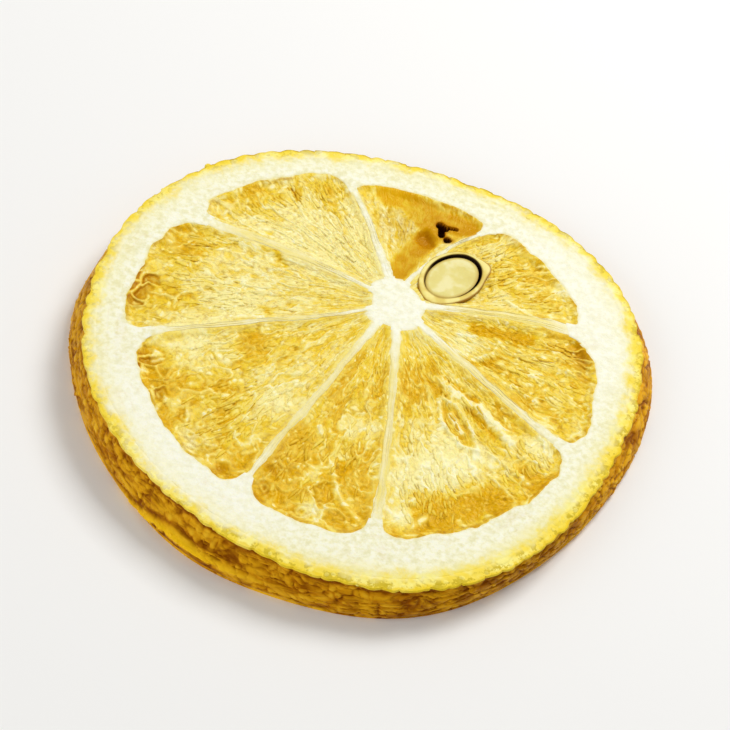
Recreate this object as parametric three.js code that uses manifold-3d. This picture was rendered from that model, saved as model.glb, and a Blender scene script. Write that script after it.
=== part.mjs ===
// A dried slice of lemon, in millimetres, lying on its lower cut face with +Z up.
// The slice is one solid: peel, pith, the thin walls between the segments, and the pulp as relief.
// The kernel of the pip that the knife went through lies loose in its coat and is a solid of its own.
import * as THREE from "three";
import { mergeVertices } from "three/addons/utils/BufferGeometryUtils.js";
import Module from "manifold-3d";

const wasm = await Module();
wasm.setup();

const degree = Math.PI / 180;

// ---- Driving dimensions -------------------------------------------------------------------------

// The upper cut face. Its rim strays a little from a circle, as the dried peel draws in unevenly.
const rimRadius = 27;
const rimLobes = [
  { waves: 1, reach: 0.15, turn: 180 },
  { waves: 3, reach: 0.71, turn: 114 },
  { waves: 4, reach: 0.46, turn: 125 },
];

// The lower cut face is wider, because the slice was cut above the fruit's widest place.
const flare = 0.9;
const flareSwells = [
  { bearing: -115, reach: 0.85, spread: 16 },
  { bearing: -50, reach: -0.85, spread: 20 },
  { bearing: 8, reach: 0.75, spread: 26 },
  { bearing: 180, reach: 0.6, spread: 14 },
];

// The slice is thicker on one side than on the other.
const thickness = 3.9;
const wedge = 0.7;
const thickSide = 195;

// The peel's wall between the two faces: a bevelled lip at the rim, a groove under it, and a foot
// that starts four fifths of the way down and is worn away at its edge.
const lip = { bevel: 0.12, drop: 0.22 };
const groove = { depth: 0.25, at: 0.2, spread: 0.12 };
const foot = { start: 0.8, worn: 0.3 };
const peelBumps = 0.2;

// The white core lies off the middle. The walls run from it to the pith ring.
// Each wall's place is its bearing from the core at both ends, and how far it bows between them.
const core = { x: 1.84, y: 7.15, rise: 0.05 };
const pithRing = 5;
const walls = [
  { coreEnd: 4, ringEnd: 3.5, bow: 4, coreWidth: 0.9, ringWidth: 1.4 },
  { coreEnd: 86, ringEnd: 58.5, bow: -4, coreWidth: 0.5, ringWidth: 0.4 },
  { coreEnd: 113.5, ringEnd: 115.5, bow: -2, coreWidth: 1.4, ringWidth: 0.6 },
  { coreEnd: 160, ringEnd: 165.5, bow: 0, coreWidth: 1.4, ringWidth: 1.8 },
  { coreEnd: 216, ringEnd: 206, bow: -4, coreWidth: 0.5, ringWidth: 0.9 },
  { coreEnd: 248, ringEnd: 248, bow: 0, coreWidth: 1, ringWidth: 0.7 },
  { coreEnd: 278.5, ringEnd: 274, bow: 0, coreWidth: 1, ringWidth: 1.2 },
  { coreEnd: 321.3, ringEnd: 323.5, bow: -0.8, coreWidth: 1.2, ringWidth: 1 },
];

// Segment n lies between wall n and the next one. Its pulp runs from near the core to a circle
// about the slice's middle. rough is the height of its juice sacs, which run outwards.
const segments = [
  { tip: 2.6, radius: 22.4, columns: 9, rough: 0.16 },
  { tip: 2.8, radius: 22.2, columns: 8, rough: 0.05 },
  { tip: 3.4, radius: 23.5, columns: 9, rough: 0.17 },
  { tip: 2.6, radius: 23.3, columns: 10, rough: 0.19 },
  { tip: 3.8, radius: 21.9, columns: 11, rough: 0.19 },
  { tip: 3.4, radius: 21.7, columns: 7, rough: 0.18 },
  { tip: 3.8, radius: 21.9, columns: 11, rough: 0.2 },
  { tip: 3, radius: 22.1, columns: 8, rough: 0.18 },
];
const ringsPerSac = 3;

// The pulp's outer corners are rounded, and a shoulder slopes down to it from the walls and the pith.
const cornerRadius = 2.4;
const cornerDrop = 1.8;
const shoulder = 0.4;

// Near the core a wall, alone or with its shoulder, takes at most this share of a segment's angle.
// Past the held distance from the core every line of the net keeps its bearing.
const wallShare = 0.26;
const shoulderShare = 0.38;
const heldDistance = 20;

// The cut faces: how far the pulp has sunk below the pith, how wavy the face is, and the rings of
// the net. The outermost ring lies the rind's thickness inside the rim.
const upperFace = { sunk: 0.42, wave: 0.06, widening: 0, pulpRings: 14, pithRings: 3 };
const lowerFace = { sunk: 0.35, wave: 0, widening: 0.6, pulpRings: 8, pithRings: 1 };
const coreRings = 2;
const peelRings = 6;
const faceWaveLength = 9;
const rind = 0.7;

// Folds of torn sac wall that stand up from the pulp, and a sac that has sunk.
const folds = [
  { from: [8, -2.1], to: [15.4, -6.9], width: 0.9, rise: 0.3 },
  { from: [7.4, -3.3], to: [11.3, -8.2], width: 1, rise: -0.22 },
  { from: [-0.7, -14.6], to: [1.9, -19.5], width: 0.6, rise: 0.24 },
  { from: [-18.5, 6.5], to: [-21.8, 7.2], width: 0.7, rise: -0.2 },
];

// The pip: its kernel, the dark gap round it and the coat, which is drawn out to a point.
const pip = { x: 6.7, y: 12, turn: 57, length: 6.3, width: 4.5, depth: 1.65 };
const pipGap = 0.34;
const pipCoat = 0.42;
const coatPoint = { bearing: 24, stretch: 0.27, spread: 20 };
const coatRise = 0.06;
const kernelDrop = 0.1;

// The dry hollow in the smooth segment, and the tear beside it.
const hollow = { x: 3.9, y: 16.6, length: 3.2, width: 2.1, depth: 0.75, turn: 95 };
const tear = { x: 5.2, y: 18.5, length: 2.4, width: 1.2, depth: 1.9, turn: 108 };

// What seeds the random unevenness of each surface.
const seeds = { face: 1, upperSacs: 10, lowerSacs: 20, peel: 30 };

// ---- Small helpers ------------------------------------------------------------------------------

const mix = (a, b, share) => a + (b - a) * share;
const limit = (value, low, high) => Math.min(high, Math.max(low, value));
const ease = (share) => limit(share, 0, 1) ** 2 * (3 - 2 * limit(share, 0, 1));

// A steady random number from -1 to 1 for a place on a whole-number grid.
function chance(...place) {
  let mixed = 2166136261;
  for (const number of place) {
    mixed = Math.imul(mixed ^ (number + 8191), 16777619);
    mixed ^= mixed >>> 15;
  }
  return (mixed >>> 0) / 2 ** 31 - 1;
}

// Smooth unevenness from -1 to 1 over the plane, with hills about one length across.
function waviness(x, y, length, seed) {
  const column = Math.floor(x / length);
  const row = Math.floor(y / length);
  const across = ease(x / length - column);
  const along = ease(y / length - row);
  return mix(
    mix(chance(column, row, seed), chance(column + 1, row, seed), across),
    mix(chance(column, row + 1, seed), chance(column + 1, row + 1, seed), across),
    along,
  );
}

// Degrees from one bearing to another, the short way round.
const turnBetween = (a, b) => ((((a - b) % 360) + 540) % 360) - 180;

// A hill of height 1 at its middle.
const hill = (distance, spread) => Math.exp(-((distance / spread) ** 2));

function distanceToLine(x, y, [ax, ay], [bx, by]) {
  const along = ((x - ax) * (bx - ax) + (y - ay) * (by - ay)) / ((bx - ax) ** 2 + (by - ay) ** 2);
  const share = limit(along, 0, 1);
  return Math.hypot(x - mix(ax, bx, share), y - mix(ay, by, share));
}

// ---- The outline --------------------------------------------------------------------------------

// Radius of the upper rim about the slice's middle.
function upperRim(bearing) {
  const lobes = rimLobes.map(({ waves, reach, turn }) => reach * Math.cos((waves * bearing - turn) * degree));
  return lobes.reduce((sum, lobe) => sum + lobe, rimRadius);
}

// How far the foot of the peel's wall lies outside its rim.
function flareAt(bearing) {
  const swells = flareSwells.map((s) => s.reach * hill(turnBetween(bearing, s.bearing), s.spread));
  return swells.reduce((sum, swell) => sum + swell, flare);
}

// Height of the upper cut over the floor.
function upperCut(x, y) {
  const towardsThickSide = x * Math.cos(thickSide * degree) + y * Math.sin(thickSide * degree);
  return thickness + (wedge * towardsThickSide) / rimRadius;
}

// Distance from the core along a bearing to a circle about the slice's middle.
function reachOf(bearing, radius) {
  const along = core.x * Math.cos(bearing * degree) + core.y * Math.sin(bearing * degree);
  return Math.sqrt(along ** 2 + radius ** 2 - core.x ** 2 - core.y ** 2) - along;
}

function pointAt(bearing, distance) {
  return [
    core.x + distance * Math.cos(bearing * degree),
    core.y + distance * Math.sin(bearing * degree),
  ];
}

// The same to a rim that isn't round: each pass takes the radius at the point found last.
function reachOfRim(bearing, rim) {
  const passes = 5;
  let distance = reachOf(bearing, rimRadius);
  for (let pass = 0; pass < passes; pass++) {
    const [x, y] = pointAt(bearing, distance);
    distance = reachOf(bearing, rim(Math.atan2(y, x) / degree));
  }
  return distance;
}

// ---- The segments' net of columns and rings -----------------------------------------------------

const wallAfter = (n) => walls[(n + 1) % walls.length];
const segmentAfter = (n) => segments[(n + 1) % segments.length];
const segmentBefore = (n) => segments[(n + segments.length - 1) % segments.length];

// Bearing and width of a wall at a distance from the core. Past the ring it keeps its last bearing.
function wallAt(wall, distance) {
  const share = limit(distance / reachOf(wall.ringEnd, rimRadius - pithRing), 0, 1);
  return {
    bearing: mix(wall.coreEnd, wall.ringEnd, share) + wall.bow * 4 * share * (1 - share),
    width: mix(wall.coreWidth, wall.ringWidth, share),
  };
}

// One segment's columns, from the middle of its first wall to just before the next wall's middle.
function columnsOf(n) {
  const count = segments[n].columns;
  const pulp = [...Array(count + 2)].map((_, i) => ({ n, pulp: 1, share: i / (count + 1) }));
  const wall = { n, pulp: 0 };
  return [{ ...wall, wall: 0 }, { ...wall, wall: 1 }, ...pulp, { ...wall, wall: 1, side: 1 }];
}

const columns = segments.flatMap((_, n) => columnsOf(n));

// Bearing of a column at a distance from the core: the wall's middle, the wall's edge or pulp.
function bearingOf(column, distance) {
  const first = wallAt(walls[column.n], distance);
  const next = wallAt(wallAfter(column.n), distance);
  const gap = (next.bearing - first.bearing + 720) % 360;
  const held = Math.min(distance, heldDistance);
  const halfWall = (wall) => Math.min(wall.width / 2 / held / degree, wallShare * gap);
  const halfGap = (wall) => Math.min((wall.width / 2 + shoulder) / held / degree, shoulderShare * gap);
  if (column.pulp) return first.bearing + mix(halfGap(first), gap - halfGap(next), column.share);
  if (column.side) return first.bearing + gap - halfWall(next);
  return first.bearing + column.wall * halfWall(first);
}

// 1 over most of a segment, falling to 0 at its walls as a rounded corner does.
function roundedCorner(column) {
  if (!column.pulp) return 0;
  const gap = (wallAfter(column.n).ringEnd - walls[column.n].ringEnd + 720) % 360;
  const arc = reachOf(walls[column.n].ringEnd + gap / 2, segments[column.n].radius) * gap * degree;
  const fromWall = Math.min(column.share, 1 - column.share) * arc + shoulder;
  return Math.sqrt(1 - (1 - limit(fromWall / cornerRadius, 0, 1)) ** 2);
}

// Where a column's pulp starts and ends, and where the column meets the rim.
function spanOf(column, face) {
  const bearing = bearingOf(column, rimRadius);
  const { radius, tip } = segments[column.n];
  const nearNext = column.side === 1 || column.share > 1 / 2;
  const neighbour = nearNext ? segmentAfter(column.n) : segmentBefore(column.n);
  const wallRadius = (radius + neighbour.radius) / 2 - cornerDrop;
  const wallTip = (tip + neighbour.tip) / 2;
  const corner = roundedCorner(column);
  return {
    start: mix(wallTip, tip, corner),
    end: reachOf(bearing, mix(wallRadius, radius, corner) + face.widening),
    rim: reachOfRim(bearing, face.rim),
  };
}

// The rings of a face from the core outwards. pulp is 0 on the pith and the walls, 1 on the pulp.
function ringsOf(face) {
  const inner = [...Array(coreRings)].map((_, i) => ({
    pulp: 0,
    at: ({ start }) => (start * (i + 1)) / (coreRings + 1),
  }));
  const pulp = [...Array(face.pulpRings + 1)].map((_, i) => ({
    pulp: 1,
    at: ({ start, end }) => mix(start + shoulder, end - shoulder, i / face.pulpRings),
  }));
  const outer = [...Array(face.pithRings)].map((_, i) => ({
    pulp: 0,
    at: ({ end, rim }) => mix(end, rim - rind, (i + 1) / face.pithRings),
  }));
  const tips = { pulp: 0, at: ({ start }) => start };
  const ends = { pulp: 0, at: ({ end }) => end };
  return [...inner, tips, ...pulp, ends, ...outer];
}

// Height of the juice sacs at a place of the net, from -1 to 1: each sac is some rings long, and
// the rings of one sac differ less than two sacs do.
function sacHeight(column, ring, seed) {
  const sac = Math.floor(ring / ringsPerSac);
  return mix(chance(column, ring, seed), chance(column, sac, seed), 0.6);
}

// Height of the folds over a place of the upper face.
function foldHeight(x, y) {
  const heights = folds.map((f) => f.rise * hill(distanceToLine(x, y, f.from, f.to), f.width));
  return heights.reduce((sum, height) => sum + height, 0);
}

// ---- The slice's surface ------------------------------------------------------------------------

upperFace.rim = upperRim;
lowerFace.rim = (bearing) => upperRim(bearing) + flareAt(bearing) - foot.worn;

// Points of one ring of the upper face.
function upperRing(ring, number) {
  return columns.map((column, i) => {
    const distance = ring.at(spanOf(column, upperFace));
    const [x, y] = pointAt(bearingOf(column, distance), distance);
    const wave = upperFace.wave * waviness(x, y, faceWaveLength, seeds.face);
    const sacs = sacHeight(i, number, seeds.upperSacs) * segments[column.n].rough;
    const relief = ring.pulp * column.pulp * (foldHeight(x, y) + sacs - upperFace.sunk);
    return [x, y, upperCut(x, y) + wave + relief];
  });
}

// Points of one ring of the lower face, whose pith lies flat on the floor.
function lowerRing(ring, number) {
  return columns.map((column, i) => {
    const distance = ring.at(spanOf(column, lowerFace));
    const [x, y] = pointAt(bearingOf(column, distance), distance);
    const sacs = sacHeight(i, number, seeds.lowerSacs) * segments[column.n].rough;
    return [x, y, ring.pulp * column.pulp * (lowerFace.sunk + sacs)];
  });
}

// Points of one ring of the peel, at a share of the way from the rim down to the floor.
function peelRing(share, number) {
  return columns.map((column, i) => {
    const bearing = bearingOf(column, rimRadius);
    const [rimX, rimY] = pointAt(bearing, spanOf(column, upperFace).rim);
    const direction = Math.atan2(rimY, rimX);
    const swell = flareAt(direction / degree) * ease(share / foot.start);
    const dip = groove.depth * hill(share - groove.at, groove.spread);
    const worn = foot.worn * ease((share - foot.start) / (1 - foot.start));
    const bumps = share < 1 ? peelBumps * chance(i, number, seeds.peel) : 0;
    const radius = Math.hypot(rimX, rimY) + swell - dip - worn + bumps;
    const top = upperCut(rimX, rimY) - lip.drop;
    return [radius * Math.cos(direction), radius * Math.sin(direction), mix(top, 0, share)];
  });
}

// Joins the rings into one closed surface: upper face, peel, lower face, each face with a middle.
// Each four-sided gap is split along its shorter diagonal, which keeps the ridges whole.
function surfaceOf(rings, top, bottom) {
  const across = columns.length;
  const corners = [top, ...rings.flat(), bottom];
  const last = corners.length - 1;
  const faces = [];
  const apart = (a, b) => Math.hypot(...corners[a].map((value, axis) => value - corners[b][axis]));
  for (let i = 0; i < across; i++) {
    const next = (i + 1) % across;
    faces.push(0, 1 + i, 1 + next);
    faces.push(last, last - across + next, last - across + i);
  }
  for (let ring = 0; ring + 1 < rings.length; ring++)
    for (let i = 0; i < across; i++) {
      const [a, b] = [1 + ring * across + i, 1 + ring * across + ((i + 1) % across)];
      const [c, d] = [a + across, b + across];
      if (apart(b, c) < apart(a, d)) faces.push(a, c, b, b, c, d);
      else faces.push(a, c, d, a, d, b);
    }
  return { corners: new Float32Array(corners.flat()), faces: new Uint32Array(faces) };
}

function sliceSolid() {
  const upper = ringsOf(upperFace).map(upperRing);
  const lower = ringsOf(lowerFace).map(lowerRing);
  const rim = columns.map((column) => {
    const [x, y] = pointAt(bearingOf(column, rimRadius), spanOf(column, upperFace).rim - lip.bevel);
    return [x, y, upperCut(x, y)];
  });
  const peel = [...Array(peelRings)].map((_, i) => peelRing(i / (peelRings - 1), i));
  const top = [core.x, core.y, upperCut(core.x, core.y) + core.rise];
  const rings = [...upper, rim, ...peel, ...lower.reverse()];
  const { corners, faces } = surfaceOf(rings, top, [core.x, core.y, 0]);
  return new wasm.Manifold(new wasm.Mesh({ numProp: 3, vertProperties: corners, triVerts: faces }));
}

// ---- Solids from three.js geometry --------------------------------------------------------------

function solidOf(geometry) {
  const bare = geometry.clone();
  bare.deleteAttribute("normal");
  bare.deleteAttribute("uv");
  const merged = mergeVertices(bare, 1e-4);
  return new wasm.Manifold(
    new wasm.Mesh({
      numProp: 3,
      vertProperties: merged.getAttribute("position").array,
      triVerts: new Uint32Array(merged.index.array),
    }),
  );
}

function geometryOf(solid) {
  const mesh = solid.getMesh();
  const geometry = new THREE.BufferGeometry();
  geometry.setAttribute("position", new THREE.BufferAttribute(mesh.vertProperties, 3));
  geometry.setIndex(new THREE.BufferAttribute(mesh.triVerts, 1));
  geometry.computeVertexNormals();
  return geometry;
}

// A pebble with its widest section at the upper cut, and a point on one side if it is asked for.
function pebble({ x, y, turn, length, width, depth }, grow = 0, point = null) {
  const geometry = new THREE.SphereGeometry(1, 28, 14);
  geometry.rotateX(Math.PI / 2);
  geometry.scale(length / 2 + grow, width / 2 + grow, depth + grow);
  geometry.rotateZ(turn * degree);
  const place = geometry.getAttribute("position");
  for (let i = 0; point && i < place.count; i++) {
    const bearing = Math.atan2(place.getY(i), place.getX(i)) / degree;
    const drawn = 1 + point.stretch * hill(turnBetween(bearing, point.bearing), point.spread);
    place.setXY(i, place.getX(i) * drawn, place.getY(i) * drawn);
  }
  geometry.translate(x, y, upperCut(x, y));
  return solidOf(geometry);
}

// Everything below a level, near the slice.
function below(level) {
  const width = 3 * rimRadius;
  const box = new THREE.BoxGeometry(width, width, width);
  box.translate(0, 0, level - width / 2);
  return solidOf(box);
}

// ---- The two solids -----------------------------------------------------------------------------

function makeSlice() {
  const level = upperCut(pip.x, pip.y);
  const coat = pebble(pip, pipGap + pipCoat, coatPoint).intersect(below(level + coatRise));
  const socket = pebble(pip, pipGap);
  return sliceSolid().add(coat).subtract(socket).subtract(pebble(hollow)).subtract(pebble(tear));
}

function makeKernel() {
  return pebble(pip).intersect(below(upperCut(pip.x, pip.y) - kernelDrop));
}

const flesh = new THREE.MeshStandardMaterial({ color: 0xe2bc4a, roughness: 0.5, metalness: 0 });
const kernelCream = new THREE.MeshStandardMaterial({ color: 0xd9cf96, roughness: 0.55, metalness: 0 });

const slice = new THREE.Mesh(geometryOf(makeSlice()), flesh);
slice.name = "lemon_slice";

const kernel = new THREE.Mesh(geometryOf(makeKernel()), kernelCream);
kernel.name = "pip_kernel";

const part = new THREE.Group();
part.add(slice, kernel);

// The origin is under the middle of the slice's box.
const box = new THREE.Box3().setFromObject(part);
part.position.set(-(box.min.x + box.max.x) / 2, -(box.min.y + box.max.y) / 2, -box.min.z);

export default part;
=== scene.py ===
# A dried slice of lemon: the looks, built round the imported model.
# Lengths in the dictionaries are millimetres and turns are degrees. Places on the slice are
# measured from the middle of its upper cut, as in the model; the meshes are in metres.
import math

import bpy
import numpy as np
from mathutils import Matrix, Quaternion, Vector


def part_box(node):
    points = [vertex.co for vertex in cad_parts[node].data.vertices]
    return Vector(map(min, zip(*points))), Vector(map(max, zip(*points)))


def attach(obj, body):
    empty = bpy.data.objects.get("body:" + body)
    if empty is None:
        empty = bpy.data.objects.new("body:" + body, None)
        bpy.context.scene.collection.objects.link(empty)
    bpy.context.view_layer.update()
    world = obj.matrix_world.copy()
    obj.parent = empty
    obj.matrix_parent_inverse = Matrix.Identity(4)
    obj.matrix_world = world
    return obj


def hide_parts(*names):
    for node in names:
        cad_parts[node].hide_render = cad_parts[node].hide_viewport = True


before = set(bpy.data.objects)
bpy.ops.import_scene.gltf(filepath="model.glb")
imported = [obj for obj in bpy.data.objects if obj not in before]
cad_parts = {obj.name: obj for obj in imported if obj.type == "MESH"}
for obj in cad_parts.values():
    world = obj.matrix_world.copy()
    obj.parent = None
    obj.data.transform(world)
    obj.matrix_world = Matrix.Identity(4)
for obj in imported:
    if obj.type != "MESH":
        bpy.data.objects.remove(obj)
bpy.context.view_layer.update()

mm = 0.001
degree = math.pi / 180

lemon = {
    "rimRadius": 27.0,
    "rimLobes": [(1, 0.15, 180), (3, 0.71, 114), (4, 0.46, 125)],  # waves, reach, turn
    "flare": 0.9,  # how far the lower face stands out past the upper one
    "flareSwells": [(-115, 0.85, 16), (-50, -0.85, 20), (8, 0.75, 26), (180, 0.6, 14)],
    "thickness": 3.9,
    "wedge": 0.7,
    "thickSide": 195,
    "core": (1.84, 7.15),
    "pithRing": 5.0,
    "wave": 0.04,
    "waveLength": 9.0,
    "kernelPlace": (6.7, 12.0),
}

# Where each wall starts and ends: bearing from the core, bow between, its two widths, and how
# straw coloured it has dried.
walls = [
    {"coreEnd": 4, "ringEnd": 3.5, "bow": 4, "coreWidth": 1.2, "ringWidth": 1.6, "straw": 1.25},
    {"coreEnd": 86, "ringEnd": 58.5, "bow": -4, "coreWidth": 1.0, "ringWidth": 0.6, "straw": 0.4},
    {"coreEnd": 113.5, "ringEnd": 115.5, "bow": -2, "coreWidth": 1.5, "ringWidth": 0.7, "straw": 0.38},
    {"coreEnd": 160, "ringEnd": 165.5, "bow": 0, "coreWidth": 0.75, "ringWidth": 1.5, "straw": 1.1},
    {"coreEnd": 216, "ringEnd": 206, "bow": -4, "coreWidth": 0.6, "ringWidth": 1.0, "straw": 0.95},
    {"coreEnd": 248, "ringEnd": 248, "bow": 0, "coreWidth": 1, "ringWidth": 0.9, "straw": 1.0},
    {"coreEnd": 278.5, "ringEnd": 274, "bow": 0, "coreWidth": 1.1, "ringWidth": 1.1, "straw": 1.15},
    {"coreEnd": 321.3, "ringEnd": 323.5, "bow": -0.8, "coreWidth": 1.3, "ringWidth": 1.2, "straw": 1.05},
]

# Segment n lies between wall n and the next. tone runs from straw at 0 to amber at 1.
segments = [
    {"tip": 2.6, "radius": 22.4, "tone": 0.37},
    {"tip": 3.2, "radius": 22.2, "tone": 0.4},
    {"tip": 3.4, "radius": 23.5, "tone": 0.1},
    {"tip": 2.6, "radius": 23.3, "tone": 0.22},
    {"tip": 3.8, "radius": 21.9, "tone": 0.36},
    {"tip": 3.4, "radius": 21.7, "tone": 0.58},
    {"tip": 3.8, "radius": 21.9, "tone": 0.44},
    {"tip": 3.0, "radius": 22.1, "tone": 0.44},
]

net = {
    "cornerRadius": 2.4,
    "cornerDrop": 1.8,
    "wallShare": 0.26,
    "heldDistance": 20.0,
    "lowerWidening": 0.6,
    "ragged": 0.26,  # how unevenly the pulp ends at the pith
    "smoothEnd": (87, 24),  # the bearing where it ends evenly, and how far round
    "wobble": 0.2,  # how far a wall strays sideways
    "slimness": 0.92,  # the walls' crests against their feet
}


# Numbers over the plane

def mix(a, b, share):
    return a + (b - a) * share


def ease(share):
    share = np.clip(share, 0, 1)
    return share * share * (3 - 2 * share)


def rise(low, high, value):
    return ease((value - low) / (high - low))


def hill(distance, spread):
    return np.exp(-((distance / spread) ** 2))


def turnBetween(a, b):
    return (a - b + 540) % 360 - 180


def chance(column, row, seed, around=None):
    # a steady random number from 0 to 1 for a place on a whole-number grid
    if around:
        column = column % around
    column, row = np.asarray(column).astype(np.int64), np.asarray(row).astype(np.int64)
    mixed = (column * 374761393 + row * 668265263 + seed * 974634777) & 0xFFFFFFFF
    mixed = ((mixed ^ (mixed >> 13)) * 1274126177) & 0xFFFFFFFF
    return (mixed ^ (mixed >> 16)) / 2**32


def waviness(x, y, seed, around=None):
    # smooth unevenness from -1 to 1, with hills about one unit across
    column, row = np.floor(x), np.floor(y)
    across, along = ease(x - column), ease(y - row)
    near = mix(chance(column, row, seed, around), chance(column + 1, row, seed, around), across)
    far = mix(chance(column, row + 1, seed, around), chance(column + 1, row + 1, seed, around), across)
    return 2 * mix(near, far, along) - 1


def rough(x, y, seed, layers=3):
    # the same with finer and finer layers
    total = sum(0.5**i * waviness(x * 2**i + 17 * i, y * 2**i, seed + i) for i in range(layers))
    return total / (2 - 0.5 ** (layers - 1))


def uneven(x, y, size, seed):
    # the same with hills of one size in millimetres
    return rough(x / size, y / size, seed)


def cells(x, y, seed, jitter=0.85, around=None):
    # a jittered grid of cells: distance to the nearest centre and to the next one, and the
    # nearest cell's own random number
    column, row = np.floor(x), np.floor(y)
    nearest, second, own = np.full(x.shape, 9.0), np.full(x.shape, 9.0), np.zeros(x.shape)
    for i in (-1, 0, 1):
        for j in (-1, 0, 1):
            place = (column + i, row + j)
            aside = place[0] + 0.5 + jitter * (chance(*place, seed, around) - 0.5) - x
            ahead = place[1] + 0.5 + jitter * (chance(*place, seed + 1, around) - 0.5) - y
            distance = np.hypot(aside, ahead)
            closer = distance < nearest
            second = np.where(closer, nearest, np.minimum(second, distance))
            own = np.where(closer, chance(*place, seed + 2, around), own)
            nearest = np.where(closer, distance, nearest)
    return nearest, second, own


# The slice's outline and its walls

def upperRim(bearing):
    lobes = [reach * np.cos((waves * bearing - turn) * degree) for waves, reach, turn in lemon["rimLobes"]]
    return lemon["rimRadius"] + sum(lobes)


def flareAt(bearing):
    swells = [reach * hill(turnBetween(bearing, at), spread) for at, reach, spread in lemon["flareSwells"]]
    return lemon["flare"] + sum(swells)


def upperCut(x, y):
    lean = x * math.cos(lemon["thickSide"] * degree) + y * math.sin(lemon["thickSide"] * degree)
    return lemon["thickness"] + lemon["wedge"] * lean / lemon["rimRadius"]


def upperWave(x, y):
    return lemon["wave"] * waviness(x / lemon["waveLength"] + 40, y / lemon["waveLength"] + 40, 1)


def reachOf(bearing, radius):
    # distance from the core to a circle about the slice's middle
    coreX, coreY = lemon["core"]
    along = coreX * np.cos(bearing * degree) + coreY * np.sin(bearing * degree)
    return np.sqrt(along**2 + radius**2 - coreX**2 - coreY**2) - along


def pointAt(bearing, distance):
    coreX, coreY = lemon["core"]
    return coreX + distance * np.cos(bearing * degree), coreY + distance * np.sin(bearing * degree)


def reachOfRim(bearing, rim):
    distance = reachOf(bearing, lemon["rimRadius"])
    for _ in range(5):
        x, y = pointAt(bearing, distance)
        distance = reachOf(bearing, rim(np.arctan2(y, x) / degree))
    return distance


def wallAt(n, distance):
    wall = walls[n % len(walls)]
    share = np.clip(distance / reachOf(wall["ringEnd"], lemon["rimRadius"] - lemon["pithRing"]), 0, 1)
    bearing = mix(wall["coreEnd"], wall["ringEnd"], share) + wall["bow"] * 4 * share * (1 - share)
    fade = ease(distance / 4)
    lane = np.full_like(distance, 9.0 * (n % len(walls)))
    stray = net["wobble"] * fade * rough(distance / 3.4, lane, 3)
    width = net["slimness"] * mix(wall["coreWidth"], wall["ringWidth"], share)
    width = width * (1 + 0.3 * fade * rough(distance / 2.2, lane, 4))
    return bearing + stray / np.maximum(distance, 3) / degree, width


def gapAfter(n):
    # degrees from wall n to the next
    return (walls[(n + 1) % len(walls)]["ringEnd"] - walls[n]["ringEnd"] + 720) % 360


def windowAt(n, distance, tuck=0.0):
    # bearings of a segment's two edges; tuck widens it into the walls
    distance = np.asarray(distance, float)
    first, firstWidth = wallAt(n, distance)
    last, lastWidth = wallAt(n + 1, distance)
    gap = (last - first + 720) % 360
    held = np.clip(distance, 0.3, net["heldDistance"])

    def half(width):
        angle = np.minimum(width / 2 / held / degree, net["wallShare"] * gap)
        return angle - np.minimum(tuck / held / degree, angle * 0.9)

    return first + half(firstWidth), first + gap - half(lastWidth)


def outlineAt(n, share):
    # a segment's tip and the radius of its outer end, with rounded corners at the walls
    before, own, after = (segments[(n + i) % len(segments)] for i in (-1, 0, 1))
    neighbour = {key: np.where(share < 0.5, before[key], after[key]) for key in ("tip", "radius")}
    gap = gapAfter(n)
    arc = reachOf(walls[n]["ringEnd"] + gap / 2, own["radius"]) * gap * degree
    fromWall = np.clip(np.minimum(share, 1 - share) * arc / net["cornerRadius"], 0, 1)
    corner = np.sqrt(1 - (1 - fromWall) ** 2)
    wallTip = (own["tip"] + neighbour["tip"]) / 2
    wallRadius = (own["radius"] + neighbour["radius"]) / 2 - net["cornerDrop"]
    return mix(wallTip, own["tip"], corner), mix(wallRadius, own["radius"], corner)


def ragged(bearing):
    # scallops where the ends of the sacs press into the pith
    at, around = net["smoothEnd"]
    reach = net["ragged"] * (1 - 0.8 * hill(turnBetween(bearing, at), around) ** 0.5)
    broad = waviness(bearing / 3.1, 0 * bearing, 11, 360 / 3.1)
    return reach * (broad + 0.25 * waviness(bearing / 1.2, 0 * bearing, 12))


def endAt(bearing, radius, widening):
    return reachOf(bearing, radius + widening) + ragged(bearing % 360)


# Meshes

kernelLow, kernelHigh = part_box("pip_kernel")
sliceMiddle = (kernelLow + kernelHigh) / 2 - Vector((*lemon["kernelPlace"], 0)) * mm
sliceMiddle.z = 0


def gridFaces(ids, closed=False, flip=False):
    if closed:
        ids = np.concatenate([ids, ids[:, :1]], axis=1)
    quads = np.stack([ids[:-1, :-1], ids[1:, :-1], ids[1:, 1:], ids[:-1, 1:]], axis=-1).reshape(-1, 4)
    quads = quads[(quads >= 0).all(axis=1)]
    return quads[:, ::-1] if flip else quads


def fanFaces(pole, ring, flip=False):
    around = np.roll(ring, -1)
    fan = np.stack([np.full_like(ring, pole), ring, around], axis=-1)
    return fan[:, ::-1] if flip else fan


def placed(name, data):
    thing = bpy.data.objects.new(name, data)
    bpy.context.scene.collection.objects.link(thing)
    return thing


def flat(fields):
    # grids of numbers or vectors as plain lists
    return {key: field.reshape(-1, *field.shape[2:]) for key, field in fields.items()}


def joined(parts):
    return {key: np.concatenate([part[key] for part in parts]) for key in parts[0]}


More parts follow.
